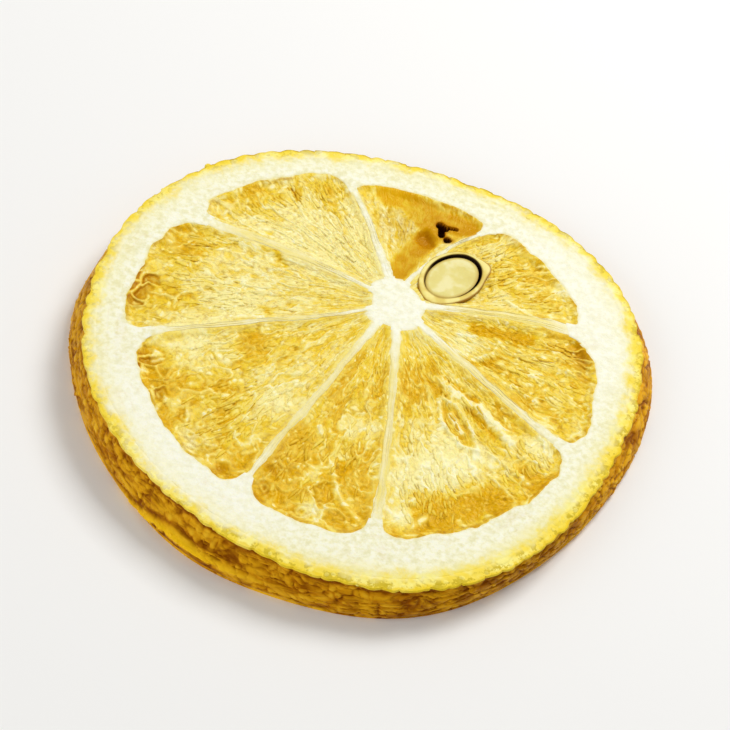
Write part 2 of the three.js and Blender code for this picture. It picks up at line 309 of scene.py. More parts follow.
def addMesh(name, points, faceSets, attributes, edges=()):
    mesh = bpy.data.meshes.new(name)
    places = np.asarray(points) * mm + np.array(sliceMiddle)
    mesh.vertices.add(len(places))
    mesh.vertices.foreach_set("co", places.astype(np.float32).ravel())
    if len(edges):
        mesh.edges.add(len(edges))
        mesh.edges.foreach_set("vertices", np.asarray(edges, np.int32).ravel())
    if faceSets:
        corners = np.concatenate([faces.ravel() for faces in faceSets]).astype(np.int32)
        sizes = np.concatenate([np.full(len(faces), faces.shape[1]) for faces in faceSets])
        mesh.loops.add(len(corners))
        mesh.loops.foreach_set("vertex_index", corners)
        mesh.polygons.add(len(sizes))
        mesh.polygons.foreach_set("loop_start", (np.cumsum(sizes) - sizes).astype(np.int32))
    mesh.update(calc_edges=bool(faceSets))
    for key, values in attributes.items():
        values = np.asarray(values, np.float32)
        kind, field = ("FLOAT_VECTOR", "vector") if values.ndim == 2 else ("FLOAT", "value")
        mesh.attributes.new(key, kind, "POINT").data.foreach_set(field, values.ravel())
    return placed(name, mesh)


def makePiece(name, points, faceSets, attributes, material, sharpest=50):
    piece = addMesh(name, points, faceSets, attributes)
    piece.data.shade_smooth()
    piece.data.set_sharp_from_angle(angle=sharpest * degree)
    piece.data.materials.append(material)
    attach(piece, "root")
    print(name, len(piece.data.vertices), "points")
    return piece


# Shader and geometry trees

class Wire:
    # a socket that can be summed: each sum adds one Math node
    def __init__(self, graph, socket):
        self.graph, self.socket = graph, socket

    def maths(self, operation, *values, clamp=False):
        inputs = dict(enumerate(values))
        return self.graph.node("ShaderNodeMath", inputs, operation=operation, use_clamp=clamp)

    def __add__(self, other):
        return self.maths("ADD", self, other)

    def __radd__(self, other):
        return self.maths("ADD", other, self)

    def __sub__(self, other):
        return self.maths("SUBTRACT", self, other)

    def __rsub__(self, other):
        return self.maths("SUBTRACT", other, self)

    def __mul__(self, other):
        return self.maths("MULTIPLY", self, other)

    def __rmul__(self, other):
        return self.maths("MULTIPLY", other, self)

    def __truediv__(self, other):
        return self.maths("DIVIDE", self, other)

    def __abs__(self):
        return self.maths("ABSOLUTE", self)

    def clamp(self):
        return self.maths("ADD", self, 0.0, clamp=True)

    def beside(self, output):
        # another output of the same node
        return Wire(self.graph, self.socket.node.outputs[output])

    def rise(self, low, high):
        # 0 below one value and 1 above the other
        inputs = {0: self, 1: low, 2: high}
        return self.graph.node("ShaderNodeMapRange", inputs, interpolation_type="SMOOTHSTEP")


class Graph:
    def __init__(self, tree):
        self.tree = tree

    def node(self, kind, inputs=None, output=0, **settings):
        made = self.tree.nodes.new(kind)
        for key, value in settings.items():
            setattr(made, key, value)
        for key, value in (inputs or {}).items():
            if isinstance(value, Wire):
                self.tree.links.new(value.socket, made.inputs[key])
            else:
                made.inputs[key].default_value = value
        return Wire(self, made.outputs[output])

    def vector(self, operation, *values):
        return self.node("ShaderNodeVectorMath", dict(enumerate(values)), operation=operation)

    def noise(self, vector, scale, detail=3.0, roughness=0.55, distortion=0.0, output=0):
        inputs = {
            "Vector": vector, "Scale": scale, "Detail": detail,
            "Roughness": roughness, "Distortion": distortion,
        }
        return self.node("ShaderNodeTexNoise", inputs, output)


# Unevenness that the paints share: how often it changes to a metre, its layers and roughness.
clouds = {
    "broad": (190.0, 2.0, 0.5),
    "soft": (420.0, 3.0, 0.6),
    "mottle": (1150.0, 3.0, 0.6),
    "grit": (1150.0, 4.0, 0.7),
    "pithSpeck": (1700.0, 3.0, 0.6),
    "pithGrain": (2300.0, 3.0, 0.65),
    "pulpSpeck": (1900.0, 3.0, 0.65),
    "pulpGrain": (2600.0, 2.0, 0.6),
    "pipSoft": (650.0, 2.0, 0.5),
    "pipGrain": (1300.0, 3.0, 0.6),
}


class Paint(Graph):
    # one material and its nodes
    def __init__(self, name):
        self.material = bpy.data.materials.new(name)
        self.material.use_nodes = True
        super().__init__(self.material.node_tree)
        self.tree.nodes.clear()
        self.place = self.node("ShaderNodeTexCoord", output=3)
        self.clouds = {}

    def attributes(self, *names):
        return [self.node("ShaderNodeAttribute", output=2, attribute_name=name) for name in names]

    def cloud(self, name):
        if name not in self.clouds:
            self.clouds[name] = self.noise(self.place, *clouds[name])
        return self.clouds[name]

    def blend(self, a, b, share):
        return self.node("ShaderNodeMix", {0: share, 6: a, 7: b}, 2, data_type="RGBA")

    def stretched(self, vector, scale):
        return self.vector("MULTIPLY", vector, scale)

    def threads(self, vector, scale, sharpness, detail=2.0, distortion=0.4):
        # fine lines that wind like the edges of folded paper: 1 on a line
        level = self.noise(vector, scale, detail, 0.5, distortion)
        return (1.0 - abs(level - 0.5) * sharpness).clamp()

    def bump(self, height, strength, distance):
        inputs = {"Height": height, "Strength": strength, "Distance": distance}
        return self.node("ShaderNodeBump", inputs)

    def finish(self, inputs):
        surface = self.node("ShaderNodeBsdfPrincipled", inputs)
        end = self.tree.nodes.new("ShaderNodeOutputMaterial")
        self.tree.links.new(surface.socket, end.inputs["Surface"])
        return self.material


class Growth(Graph):
    # a geometry tree with named inputs, run once on a carrier mesh
    def __init__(self, name, sizes):
        super().__init__(bpy.data.node_groups.new(name, "GeometryNodeTree"))
        self.sizes, sockets = sizes, self.tree.interface
        sockets.new_socket("Carrier", in_out="INPUT", socket_type="NodeSocketGeometry")
        for key, value in sizes.items():
            kind = "NodeSocketInt" if isinstance(value, int) else "NodeSocketFloat"
            sockets.new_socket(key, in_out="INPUT", socket_type=kind)
        sockets.new_socket("Grown", in_out="OUTPUT", socket_type="NodeSocketGeometry")
        self.entry = self.tree.nodes.new("NodeGroupInput")

    def given(self, name):
        return Wire(self, self.entry.outputs[name])

    def attribute(self, name, kind="FLOAT"):
        return self.node("GeometryNodeInputNamedAttribute", {"Name": name}, data_type=kind)

    def stored(self, shape, name, value):
        inputs = {"Geometry": shape, "Name": name, "Value": value}
        return self.node("GeometryNodeStoreNamedAttribute", inputs)

    def drawn(self, low, high, seed):
        # a random number for each point
        return self.node("FunctionNodeRandomValue", {2: low, 3: high, 8: seed}, 1, data_type="FLOAT")

    def between(self, name, seed):
        # a random size for each point, from two inputs
        return self.drawn(self.given(f"Least {name}"), self.given(f"Most {name}"), seed)

    def combined(self, x, y, z):
        return self.node("ShaderNodeCombineXYZ", {0: x, 1: y, 2: z})

    def scattered(self, room):
        inputs = {
            "Mesh": self.given("Carrier"),
            "Distance Min": self.given("Spacing"),
            "Density Max": self.given("Density"),
            "Density Factor": room,
            "Seed": self.given("Seed"),
        }
        return self.node("GeometryNodeDistributePointsOnFaces", inputs, distribute_method="POISSON")

    def position(self, axis=None):
        place = self.node("GeometryNodeInputPosition")
        return place if axis is None else self.node("ShaderNodeSeparateXYZ", {0: place}, axis)

    def ball(self):
        return self.node("GeometryNodeMeshUVSphere", {"Segments": 10, "Rings": 6, "Radius": 0.5})

    def moved(self, shape, **inputs):
        return self.node("GeometryNodeSetPosition", {"Geometry": shape, **inputs})

    def smooth(self, shape):
        return self.node("GeometryNodeSetShadeSmooth", {"Geometry": shape})

    def copies(self, points, shape, turn, size):
        inputs = {"Points": points, "Instance": shape, "Rotation": turn, "Scale": size}
        return self.node("GeometryNodeInstanceOnPoints", inputs)

    def turned(self, normal, ahead, swing):
        # stands a copy on the surface, pointing ahead, and swings it aside
        axes = {0: normal, 1: ahead}
        turn = self.node("FunctionNodeAxesToRotation", axes, primary_axis="Z", secondary_axis="X")
        aside = self.node("FunctionNodeEulerToRotation", {0: self.combined(0.0, 0.0, swing)})
        return self.node("FunctionNodeRotateRotation", {0: turn, 1: aside}, rotation_space="LOCAL")

    def grow(self, carrier, shape, material, slot):
        whole = self.node("GeometryNodeRealizeInstances", {"Geometry": shape})
        painted = self.node("GeometryNodeSetMaterial", {"Geometry": whole, "Material": material})
        end = self.tree.nodes.new("NodeGroupOutput")
        self.tree.links.new(painted.socket, end.inputs[0])
        modifier = carrier.modifiers.new(self.tree.name, "NODES")
        modifier.node_group = self.tree
        for item in self.tree.interface.items_tree:
            if item.in_out == "INPUT" and item.name in self.sizes:
                modifier[item.identifier] = self.sizes[item.name]
        graph = bpy.context.evaluated_depsgraph_get()
        grown = carrier.evaluated_get(graph)
        mesh = bpy.data.meshes.new_from_object(grown, preserve_all_data_layers=True, depsgraph=graph)
        carrier.modifiers.remove(modifier)
        carrier.data = mesh
        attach(carrier, "root")
        print(carrier.name, len(mesh.vertices), "points")


def tint(red, green, blue):
    # a colour as it looks on a screen, from 0 to 255, as light
    shares = [value / 255 for value in (red, green, blue)]
    light = [((share + 0.055) / 1.055) ** 2.4 if share > 0.04 else share / 12.92 for share in shares]
    return (*light, 1.0)


# Materials

pulpLook = {
    "straw": tint(254, 238, 148),
    "gold": tint(248, 213, 48),
    "amber": tint(234, 178, 4),
    "brown": tint(166, 92, 0),
    # painted shade in the torn holes
    "dark": tint(64, 26, 4),
    "crease": tint(184, 138, 26),
    "sacWall": tint(255, 248, 186),
    "sacEdge": tint(255, 234, 104),  # the same where the juice has dried amber
    "glint": tint(255, 251, 218),
    "gloss": tint(255, 226, 96),
    "threads": (0.8, 1.9, 1.0),  # how often they wind along and across a sac
    "fineThreads": (1.8, 4.0, 1.0),
    "creases": (0.6, 2.0, 1.7),
    "mottle": (0.4, 0.75, 1.3),
    "grid": 0.09,
    "mostPoints": 48500,  # on one face of a segment; the larger ones get a wider grid
}


def makePulpPaint():
    paint = Paint("driedPulp")
    tone, pale, deep, gap = paint.attributes("tone", "pale", "deep", "gap")
    flow = paint.node("ShaderNodeAttribute", output=1, attribute_name="flow")
    thread = paint.threads(paint.stretched(flow, pulpLook["threads"]), 1.0, 6.0)
    fine = paint.threads(paint.stretched(flow, pulpLook["fineThreads"]), 1.0, 5.0, 1.0, 0.6)
    outward = paint.node("ShaderNodeSeparateXYZ", {0: flow}).rise(1.0, 13.0)
    crease = paint.threads(paint.stretched(flow, pulpLook["creases"]), 1.0, 6.0, 2.0, 0.8) * outward
    mottle = paint.noise(paint.stretched(flow, pulpLook["mottle"]), 1.0, 2.0)
    grain, speck = paint.cloud("pulpGrain"), paint.cloud("pulpSpeck")
    rugged = (gap + 1.0).clamp()  # 0 in the smooth film, where gap is -1
    lines = (thread * 0.6 + fine * 0.4) * (1.0 - deep)
    toned = (tone + 0.06 - lines * 0.14 + (grain - 0.5) * 0.2 + (mottle - 0.5) * 0.8).clamp()
    colour = paint.blend(pulpLook["straw"], pulpLook["gold"], toned.rise(0.0, 0.6))
    colour = paint.blend(colour, pulpLook["amber"], toned.rise(0.5, 1.0))
    # painted shade in the creases, a darker grain and darker lines round the beads
    shaded = (crease - pale).clamp() * (toned * 0.24 + 0.06) + speck.rise(0.49, 0.37) * 0.36
    colour = paint.blend(colour, pulpLook["crease"], (shaded * rugged + gap * 0.4).clamp())
    # paler sac walls and lines, and painted highlights on some specks and where pale carries them
    whiter = (pale + lines * 0.16 * (1.0 - toned) + speck.rise(0.54, 0.66) * rugged * 0.32).clamp()
    edge = paint.blend(pulpLook["sacWall"], pulpLook["sacEdge"], toned)
    colour = paint.blend(colour, edge, whiter * 0.85)
    colour = paint.blend(colour, pulpLook["glint"], (pale + (speck - 0.5) * 1.4).rise(0.6, 1.2) * 0.7)
    # brown pockets and stains, together with the painted shade along edges, pockets and bubbles
    colour = paint.blend(colour, pulpLook["brown"], (deep * (1.0 - pale * 0.7)).clamp())
    # painted shade in the torn holes
    colour = paint.blend(colour, pulpLook["dark"], deep.rise(0.8, 1.0))
    return paint.finish({
        "Base Color": colour,
        "Roughness": (0.44 - toned * 0.14 + whiter * 0.14).clamp(),
        "Specular IOR Level": 0.16,
        "Specular Tint": pulpLook["gloss"],
        "Subsurface Weight": 0.1,
        "Subsurface Radius": (1.0, 0.7, 0.2),
        "Subsurface Scale": 0.0005,
        "Normal": paint.bump(thread + fine * 0.4 + grain * 0.2 - crease * 0.5, 0.32, 0.00014),
    })


pithLook = {
    "cream": tint(249, 246, 214),
    "straw": tint(246, 227, 132),
    "lemon": tint(246, 232, 128),
    "grit": tint(224, 217, 158),
    "pale": tint(255, 254, 238),
    "brown": tint(204, 160, 66),
    "lemonSide": (24.0, -29.0, 0.0),  # to a metre: 1 at the rim on the side that is more yellow
}


def cutColour(paint, inset):
    # yellow and mottled next to the peel, then lemon coloured, then cream with a little grit
    soft, mottle, broad = paint.cloud("soft"), paint.cloud("mottle"), paint.cloud("broad")
    grit, speck = paint.cloud("grit"), paint.cloud("pithSpeck")
    cream = paint.blend(pithLook["cream"], pithLook["grit"], (speck + grit * 0.4).rise(0.6, 0.96) * 0.6)
    cream = paint.blend(cream, pithLook["pale"], speck.rise(0.55, 0.35) * 0.5)
    near = (inset + (soft - 0.5) * 1.6 + (grit - 0.5) * 1.2).rise(3.6, 0.7)
    leaning = {0: paint.place, 1: pithLook["lemonSide"]}
    side = paint.node("ShaderNodeVectorMath", leaning, 1, operation="DOT_PRODUCT")
    cream = paint.blend(cream, pithLook["pale"], side.rise(-0.5, -0.1) * side.rise(0.62, 0.42) * 0.45)
    cream = paint.blend(cream, pithLook["lemon"], near * (side.rise(0.5, 1.0) * 0.5 + 0.28))
    sunny = side.rise(0.3, 0.8)
    rim = paint.blend(peelLook["yellow"], peelLook["bright"], soft.rise(0.44, 0.62))
    green = mottle.rise(0.5, 0.58) * inset.rise(1.3, 0.7) * (sunny * 0.25 + 0.72)
    rim = paint.blend(rim, peelLook["olive"], green)
    outermost = (inset + (mottle - 0.5) * 1.6).rise(0.5, 0.1)
    rim = paint.blend(rim, peelLook["edge"], outermost * (sunny * 0.3 + 0.5))
    away = inset + (soft - 0.5) * 1.8 + (mottle - 0.5) * 2.4 + (broad - 0.5) * 2.2
    away = away + 0.2 - sunny * 0.35
    return paint.blend(rim, cream, away.rise(*peelLook["rimEnd"]))


def makePithPaint():
    paint = Paint("driedPith")
    thin, stain, inset = paint.attributes("thin", "stain", "inset")
    soft, grit, grain = paint.cloud("soft"), paint.cloud("grit"), paint.cloud("pithGrain")
    dried = (thin * (0.75 + soft * 0.5) - 0.1 * grit).clamp()
    colour = paint.blend(cutColour(paint, inset), pithLook["straw"], dried)
    # browner with the walls' painted shade and the strands' stain
    colour = paint.blend(colour, pithLook["brown"], stain.clamp())
    return paint.finish({
        "Base Color": colour,
        "Roughness": 0.72 + grain * 0.14,
        "Specular IOR Level": 0.15,
        "Subsurface Weight": 0.15,
        "Subsurface Radius": (1.0, 0.9, 0.6),
        "Subsurface Scale": 0.0006,
        "Normal": paint.bump(grain + soft + grit, 0.4, 0.00012),
    })


peelLook = {
    "yellow": tint(250, 224, 84),
    "bright": tint(255, 243, 140),
    "olive": tint(210, 184, 46),
    "edge": tint(238, 204, 30),
    # painted highlight on the crests and domes
    "light": tint(250, 200, 48),
    "gold": tint(228, 166, 20),
    "brown": tint(190, 118, 6),
    # painted shade in the creases
    "dark": tint(134, 70, 2),
    # painted highlight on the fold low on the wall
    "shine": tint(255, 200, 24),
    "gloss": tint(255, 206, 70),
    "rimEnd": (0.45, 2.0),  # how far in from the edge the yellow fades to pith
    "flattened": (1.0, 1.0, 4.6),  # the wall's streaks are this much longer than they are high
}


# What the peel's mesh tells its paint: how far in and down a place is, how brown it is with its painted shade
# and highlight, and how bright its painted highlights are.
peelFields = ("inset", "down", "pit", "bright")


def makePeelPaint():
    paint = Paint("driedPeel")
    inset, down, pit, bright, bead = paint.attributes(*peelFields, "bead")
    soft, mottle = paint.cloud("soft"), paint.cloud("mottle")
    flat = paint.stretched(paint.place, peelLook["flattened"])
    wrinkle = paint.threads(flat, 330.0, 11.0, 2.0, 0.8)
    streak = paint.noise(flat, 420.0, 4.0, 0.6, 0.3)
    # brown streaks, painted shade in the creases and wrinkles, and painted highlight on crests, domes and the
    # fold
    brown = (streak.rise(0.35, 0.7) * 0.8 + pit * 0.5).clamp()
    skin = paint.blend(peelLook["gold"], peelLook["brown"], brown)
    skin = paint.blend(skin, peelLook["dark"], (pit * 0.9 + wrinkle * 0.5 - 0.08).clamp())
    skin = paint.blend(skin, peelLook["light"], ((0.0 - pit) * (0.4 + streak * 0.8)).clamp())
    skin = paint.blend(skin, peelLook["shine"], bright.clamp())
    below = (down + (mottle - 0.5) * 0.1).rise(0.02, 0.1)
    rim = paint.blend(cutColour(paint, inset), peelLook["bright"], bead * 0.5)
    return paint.finish({
        "Base Color": paint.blend(rim, skin, below),
        "Roughness": 0.5 - below * 0.08 + mottle * 0.1,
        "Specular IOR Level": 0.18,
        "Specular Tint": peelLook["gloss"],
        "Normal": paint.bump(mottle + soft * 0.5 - wrinkle * 0.7 + streak, 0.4, 0.00018),
    })


pipLook = {
    "pipCoat": {"base": tint(232, 208, 106), "pale": tint(247, 232, 144), "shade": tint(166, 120, 34)},
    "pipKernel": {"base": tint(230, 216, 130), "pale": tint(241, 231, 168), "shade": tint(200, 166, 70)},
    # painted shade in the gap between the coat and the kernel
    "inside": tint(34, 16, 2),
}


def makePipPaint(name):
    # rim darkens an edge, and shade is painted into a hollow
    paint, look = Paint(name), pipLook[name]
    rim, dark = paint.attributes("rim", "dark")
    soft, grain = paint.cloud("pipSoft"), paint.cloud("pipGrain")
    colour = paint.blend(look["base"], look["pale"], (soft.rise(0.42, 0.62) - rim).clamp())
    worn = (rim + (grain - 0.5) * 0.6 + (0.45 - soft) * 1.2).clamp()
    colour = paint.blend(colour, look["shade"], worn)
    return paint.finish({
        "Base Color": paint.blend(colour, pipLook["inside"], dark),
        "Roughness": 0.48 + grain * 0.12,
        "Specular IOR Level": 0.2,
        "Subsurface Weight": 0.1,
        "Subsurface Radius": (1.0, 0.8, 0.5),
        "Subsurface Scale": 0.0005,
        "Normal": paint.bump(grain + soft, 0.25, 0.0001),
    })


# Pith: the white ring, the core and the segments' walls, with a window for each segment

pithShape = {
    "columnStep": 0.2,
    "wallColumns": 13,
    "coreRings": 13,
    "windowRings": 125,
    "outerRings": 24,
    "underPeel": 1.25,  # the peel's rim lies over the pith's edge
    "edge": (0.3, 0.07),  # how wide and how far the edges round off
    "lowerEdge": (0.22, 0.09),
    "lowerInset": 0.3,  # how much further in the lower face ends
    "floor": 0.02,  # how high the lower face's grain stands
    "grain": 0.035,
    "streak": 0.018,  # fibres along the walls
    "wallWave": 0.05,
}


class PithNet:
    # the pith's rings and columns; each column lies on a wall or in line with a segment
    def __init__(self):
        owner, share, onWall = [], [], []
        own = pithShape["wallColumns"]
        for n in range(len(segments)):
            count = int(gapAfter(n) * degree * lemon["rimRadius"] / pithShape["columnStep"])
            owner += [n] * (own + count)
            share += [*np.linspace(-1, 1, own), *(np.arange(1, count + 1) / (count + 1))]
            onWall += [True] * own + [False] * count
        self.owner, self.share, self.onWall = np.array(owner), np.array(share), np.array(onWall)
        self.tip, self.radius = np.empty(len(owner)), np.empty(len(owner))
        for n in range(len(segments)):
            at = self.owner == n
            self.tip[at], self.radius[at] = outlineAt(n, np.where(self.onWall, 0, self.share)[at])
        parts = [
            np.linspace(0, 1, pithShape["coreRings"] + 1)[1:],
            np.linspace(0, 1, pithShape["windowRings"] + 1)[1:-1],
            np.linspace(0, 1, pithShape["outerRings"] + 1),
        ]
        self.step = np.concatenate(parts)[:, None]
        part = np.repeat(range(3), [len(steps) for steps in parts])[:, None]
        self.inCore, self.inWindow, self.inRing = part == 0, part == 1, part == 2

    def bearings(self, distance):
        bearing = np.empty_like(distance)
        for n in range(len(segments)):
            at = (self.owner == n) & self.onWall
            _, before = windowAt(n - 1, distance[:, at])
            first, _ = windowAt(n, distance[:, at])
            before = first - (first - before + 720) % 360
            bearing[:, at] = mix(before, first, (self.share[at] + 1) / 2)
            at = (self.owner == n) & ~self.onWall
            first, last = windowAt(n, distance[:, at])
            bearing[:, at] = mix(first, last, self.share[at])
        return bearing

    def face(self, widening, rim):
        # places on a cut face, their distances from the core, from an edge and from the outer
        # end, and how wide the walls are there
        outward = self.bearings(np.full((1, len(self.owner)), lemon["rimRadius"]))[0]
        end = endAt(outward, self.radius, widening)
        edge = reachOfRim(outward, rim) - pithShape["underPeel"]
        distance = np.where(self.inWindow, mix(self.tip, end, self.step), mix(end, edge, self.step))
        distance = np.where(self.inCore, self.tip * self.step, distance)
        x, y = pointAt(self.bearings(distance), distance)
        width = np.empty_like(distance)
        for n in range(len(segments)):
            at = self.owner == n
            width[:, at] = wallAt(n, distance[:, at])[1]
        fromEdge = np.where(self.onWall & self.inWindow, (1 - abs(self.share)) * width / 2, 9.0)
        fromEdge = np.where(~self.onWall & self.inRing, distance - end, fromEdge)
        fromEdge = np.where(~self.onWall & self.inCore, self.tip - distance, fromEdge)
        return x, y, distance, fromEdge, edge - distance, width

    def loops(self):
        # where the upper face joins the lower one: at the rim and round each segment's window
        columns = np.arange(len(self.owner))
        found = [(np.full(len(columns), len(self.step) - 1), columns)]
        low = pithShape["coreRings"] - 1
        high = low + pithShape["windowRings"]
        up = np.arange(low, high + 1)
        for n in range(len(segments)):
            inside = columns[(self.owner == n) & ~self.onWall]
            before, after = inside[0] - 1, (inside[-1] + 1) % len(columns)
            rings = [np.full(len(inside), low), up, np.full(len(inside), high), up[::-1]]
            across = [inside, np.full(len(up), after), inside[::-1], np.full(len(up), before)]
            found.append((np.concatenate(rings)[::-1], np.concatenate(across)[::-1]))
        return found


def upperPith(grid):
    # the upper face's points and what its paint needs
    shape, onWall = pithShape, grid.onWall & grid.inWindow
    x, y, distance, fromEdge, inset, width = grid.face(0, upperRim)
    reach, drop = shape["edge"]
    drop = drop * (1 - ease(fromEdge / (reach * (1 + 0.5 * uneven(x, y, 1.2, 23)))))
    grain = shape["grain"] * (uneven(x, y, 0.7, 21) - 0.6)
    lane = grid.share * width / 2
    streak = onWall * rough(distance / 2.4, lane / 0.2 + 20 * grid.owner, 24)
    around = np.arctan2(y, x) * lemon["rimRadius"]
    strand = grid.inRing * hill(waviness(around / 3.5, inset / 0.7, 25), 0.12)
    top = upperCut(x, y) + upperWave(x, y) + grain - drop + shape["streak"] * (streak - 0.4 * strand - 0.5)
    top = top + onWall * shape["wallWave"] * rough(distance / 3.0, 5.0 * grid.owner + 0 * distance, 26)

    straw = np.array([wall["straw"] for wall in walls])[grid.owner]
    fromRing = inset + shape["underPeel"] - lemon["pithRing"]
    nearRing = rise(6.5, 0.5, fromRing)
    thin = onWall * straw * rise(3, 9, distance) * (0.75 + 0.5 * streak) * (1 - 0.85 * nearRing)
    thin = np.maximum(thin, 0.75 * hill(fromEdge, 0.25))
    side = 3.0 * np.sign(grid.share) + grid.owner * 9.0 + 0 * distance
    broken = rise(0.15, 0.6, rough(distance / 1.8, side, 27) + 0.1)
    # painted shade along the walls' edges where they meet the sunken pulp; the strands get a stain
    stain = 0.2 * onWall * hill(abs(grid.share) - 0.85, 0.12) * broken
    stain = stain + 0.12 * strand * rise(0.2, 0.6, uneven(x, y, 4.0, 28) + 0.2)
    fields = {"thin": thin, "stain": stain, "inset": inset + shape["underPeel"]}
    return np.stack([x, y, pressed(x, y, top)], axis=-1), fields


def lowerPith(grid):
    def lowerRim(bearing):
        return upperRim(bearing) + flareAt(bearing) - pithShape["lowerInset"]

    x, y, _, fromEdge, *_ = grid.face(net["lowerWidening"], lowerRim)
    reach, lift = pithShape["lowerEdge"]
    grain = pithShape["floor"] * (1 + uneven(x, y, 0.7, 22))
    return np.stack([x, y, grain + lift * (1 - ease(fromEdge / reach))], axis=-1)


def makePith(material):
    grid = PithNet()
    kept = grid.onWall | ~grid.inWindow
    total = kept.sum()
    ids = np.full(kept.shape, -1)
    ids[kept] = np.arange(total)
    upper, fields = upperPith(grid)
    coreX, coreY = lemon["core"]
    floor = pithShape["floor"]
    poles = [[coreX, coreY, upperCut(coreX, coreY) - floor], [coreX, coreY, floor]]
    points = np.concatenate([upper[kept], lowerPith(grid)[kept], poles])
    under = np.where(ids >= 0, ids + total, -1)
    faceSets = [gridFaces(ids, True), gridFaces(under, True, True)]
    faceSets += [fanFaces(2 * total, ids[0]), fanFaces(2 * total + 1, under[0], True)]
    for rings, columns in grid.loops():
        loop = ids[rings, columns]
        faceSets.append(gridFaces(np.stack([loop, loop + total]), True))
    atPoles = {"thin": 0, "stain": 0, "inset": 9}
    attributes = {
        key: np.concatenate([field[kept], field[kept], [atPoles[key]] * 2])
        for key, field in fields.items()
    }
    return makePiece("pith", points, faceSets, attributes, material)


# The pip's place, the dry hollow and the tear, as dents that the pulp and the walls make room for

pip = {
    "at": lemon["kernelPlace"],
    "turn": 57,
    "length": 6.3,
    "width": 4.5,
    "depth": 1.65,
    "gap": 0.22,
    "coat": 0.5,
    "rise": 0.06,  # of the coat's brim
    "drop": 0.1,  # of the kernel's cut face
    "dish": 0.05,  # how much lower its middle is
    "shift": (0.07, 0.19),  # of the coat's opening: the kernel lies against one side
    "points": [(33, 0.18, 15), (246, 0.12, 22)],  # where the coat is drawn out: bearing, stretch, spread
    "coatGrid": (160, 14, 13),  # columns, rows of each side and rows of the brim
    "kernelGrid": (128, 20),  # columns and rows of the cut face
}
hollow = {"at": (3.4, 16.6), "turn": 95, "length": 3.0, "width": 2.1, "depth": 0.6, "stain": 0.68}
tear = {
    "depth": 1.3,
    "holes": [
        {"through": [(4.6, 18.9), (5.1, 18.6)], "width": 0.46},
        {"through": [(5.0, 18.8), (6.2, 18.8)], "width": 0.26},
        {"through": [(4.8, 18.6), (4.9, 17.6)], "width": 0.34},
        {"through": [(5.55, 17.1), (5.65, 17.0)], "width": 0.4},
    ],
    # how strongly shade is painted into the holes
    "dark": 1.2,
    "halo": 0.72,  # how brown the pulp is round it
}


def drawnOut(x, y, points):
    bearing = np.arctan2(y, x) / degree
    return 1 + sum(stretch * hill(turnBetween(bearing, at), spread) for at, stretch, spread in points)


def ovalShare(x, y, oval, grow=0.0, points=()):
    # 0 in an oval's middle and 1 at its edge
    aside, ahead = x - oval["at"][0], y - oval["at"][1]
    drawn = drawnOut(aside, ahead, points)
    turn = oval["turn"] * degree
    along = (aside * math.cos(turn) + ahead * math.sin(turn)) / (oval["length"] / 2 + grow)
    across = (ahead * math.cos(turn) - aside * math.sin(turn)) / (oval["width"] / 2 + grow)
    return np.hypot(along, across) / drawn


def pressed(x, y, z):
    # lowers what lies in the coat's place, so that it stays inside the coat
    grow, inward, brim = pip["gap"] + pip["coat"], 0.1, 0.97
    share = ovalShare(x, y, pip, grow, pip["points"])
    bowl = (pip["depth"] + grow - inward) * np.sqrt(np.clip(1 - share**2, 0, 1))
    return np.where(share < brim, np.minimum(z, upperCut(x, y) - bowl), z)


# Pulp: one closed piece for each segment

def fold(through, width, height, pale, tone=0, deep=0, ragged=1):
    # a fold drawn through some points: how wide and high it is, and how much paler, more amber
    # and browner; a ragged one has a broken edge, and one below 0 in height is a crease
    return {
        "through": through, "width": width, "height": height,
        "pale": pale, "tone": tone, "deep": deep, "ragged": ragged,
    }


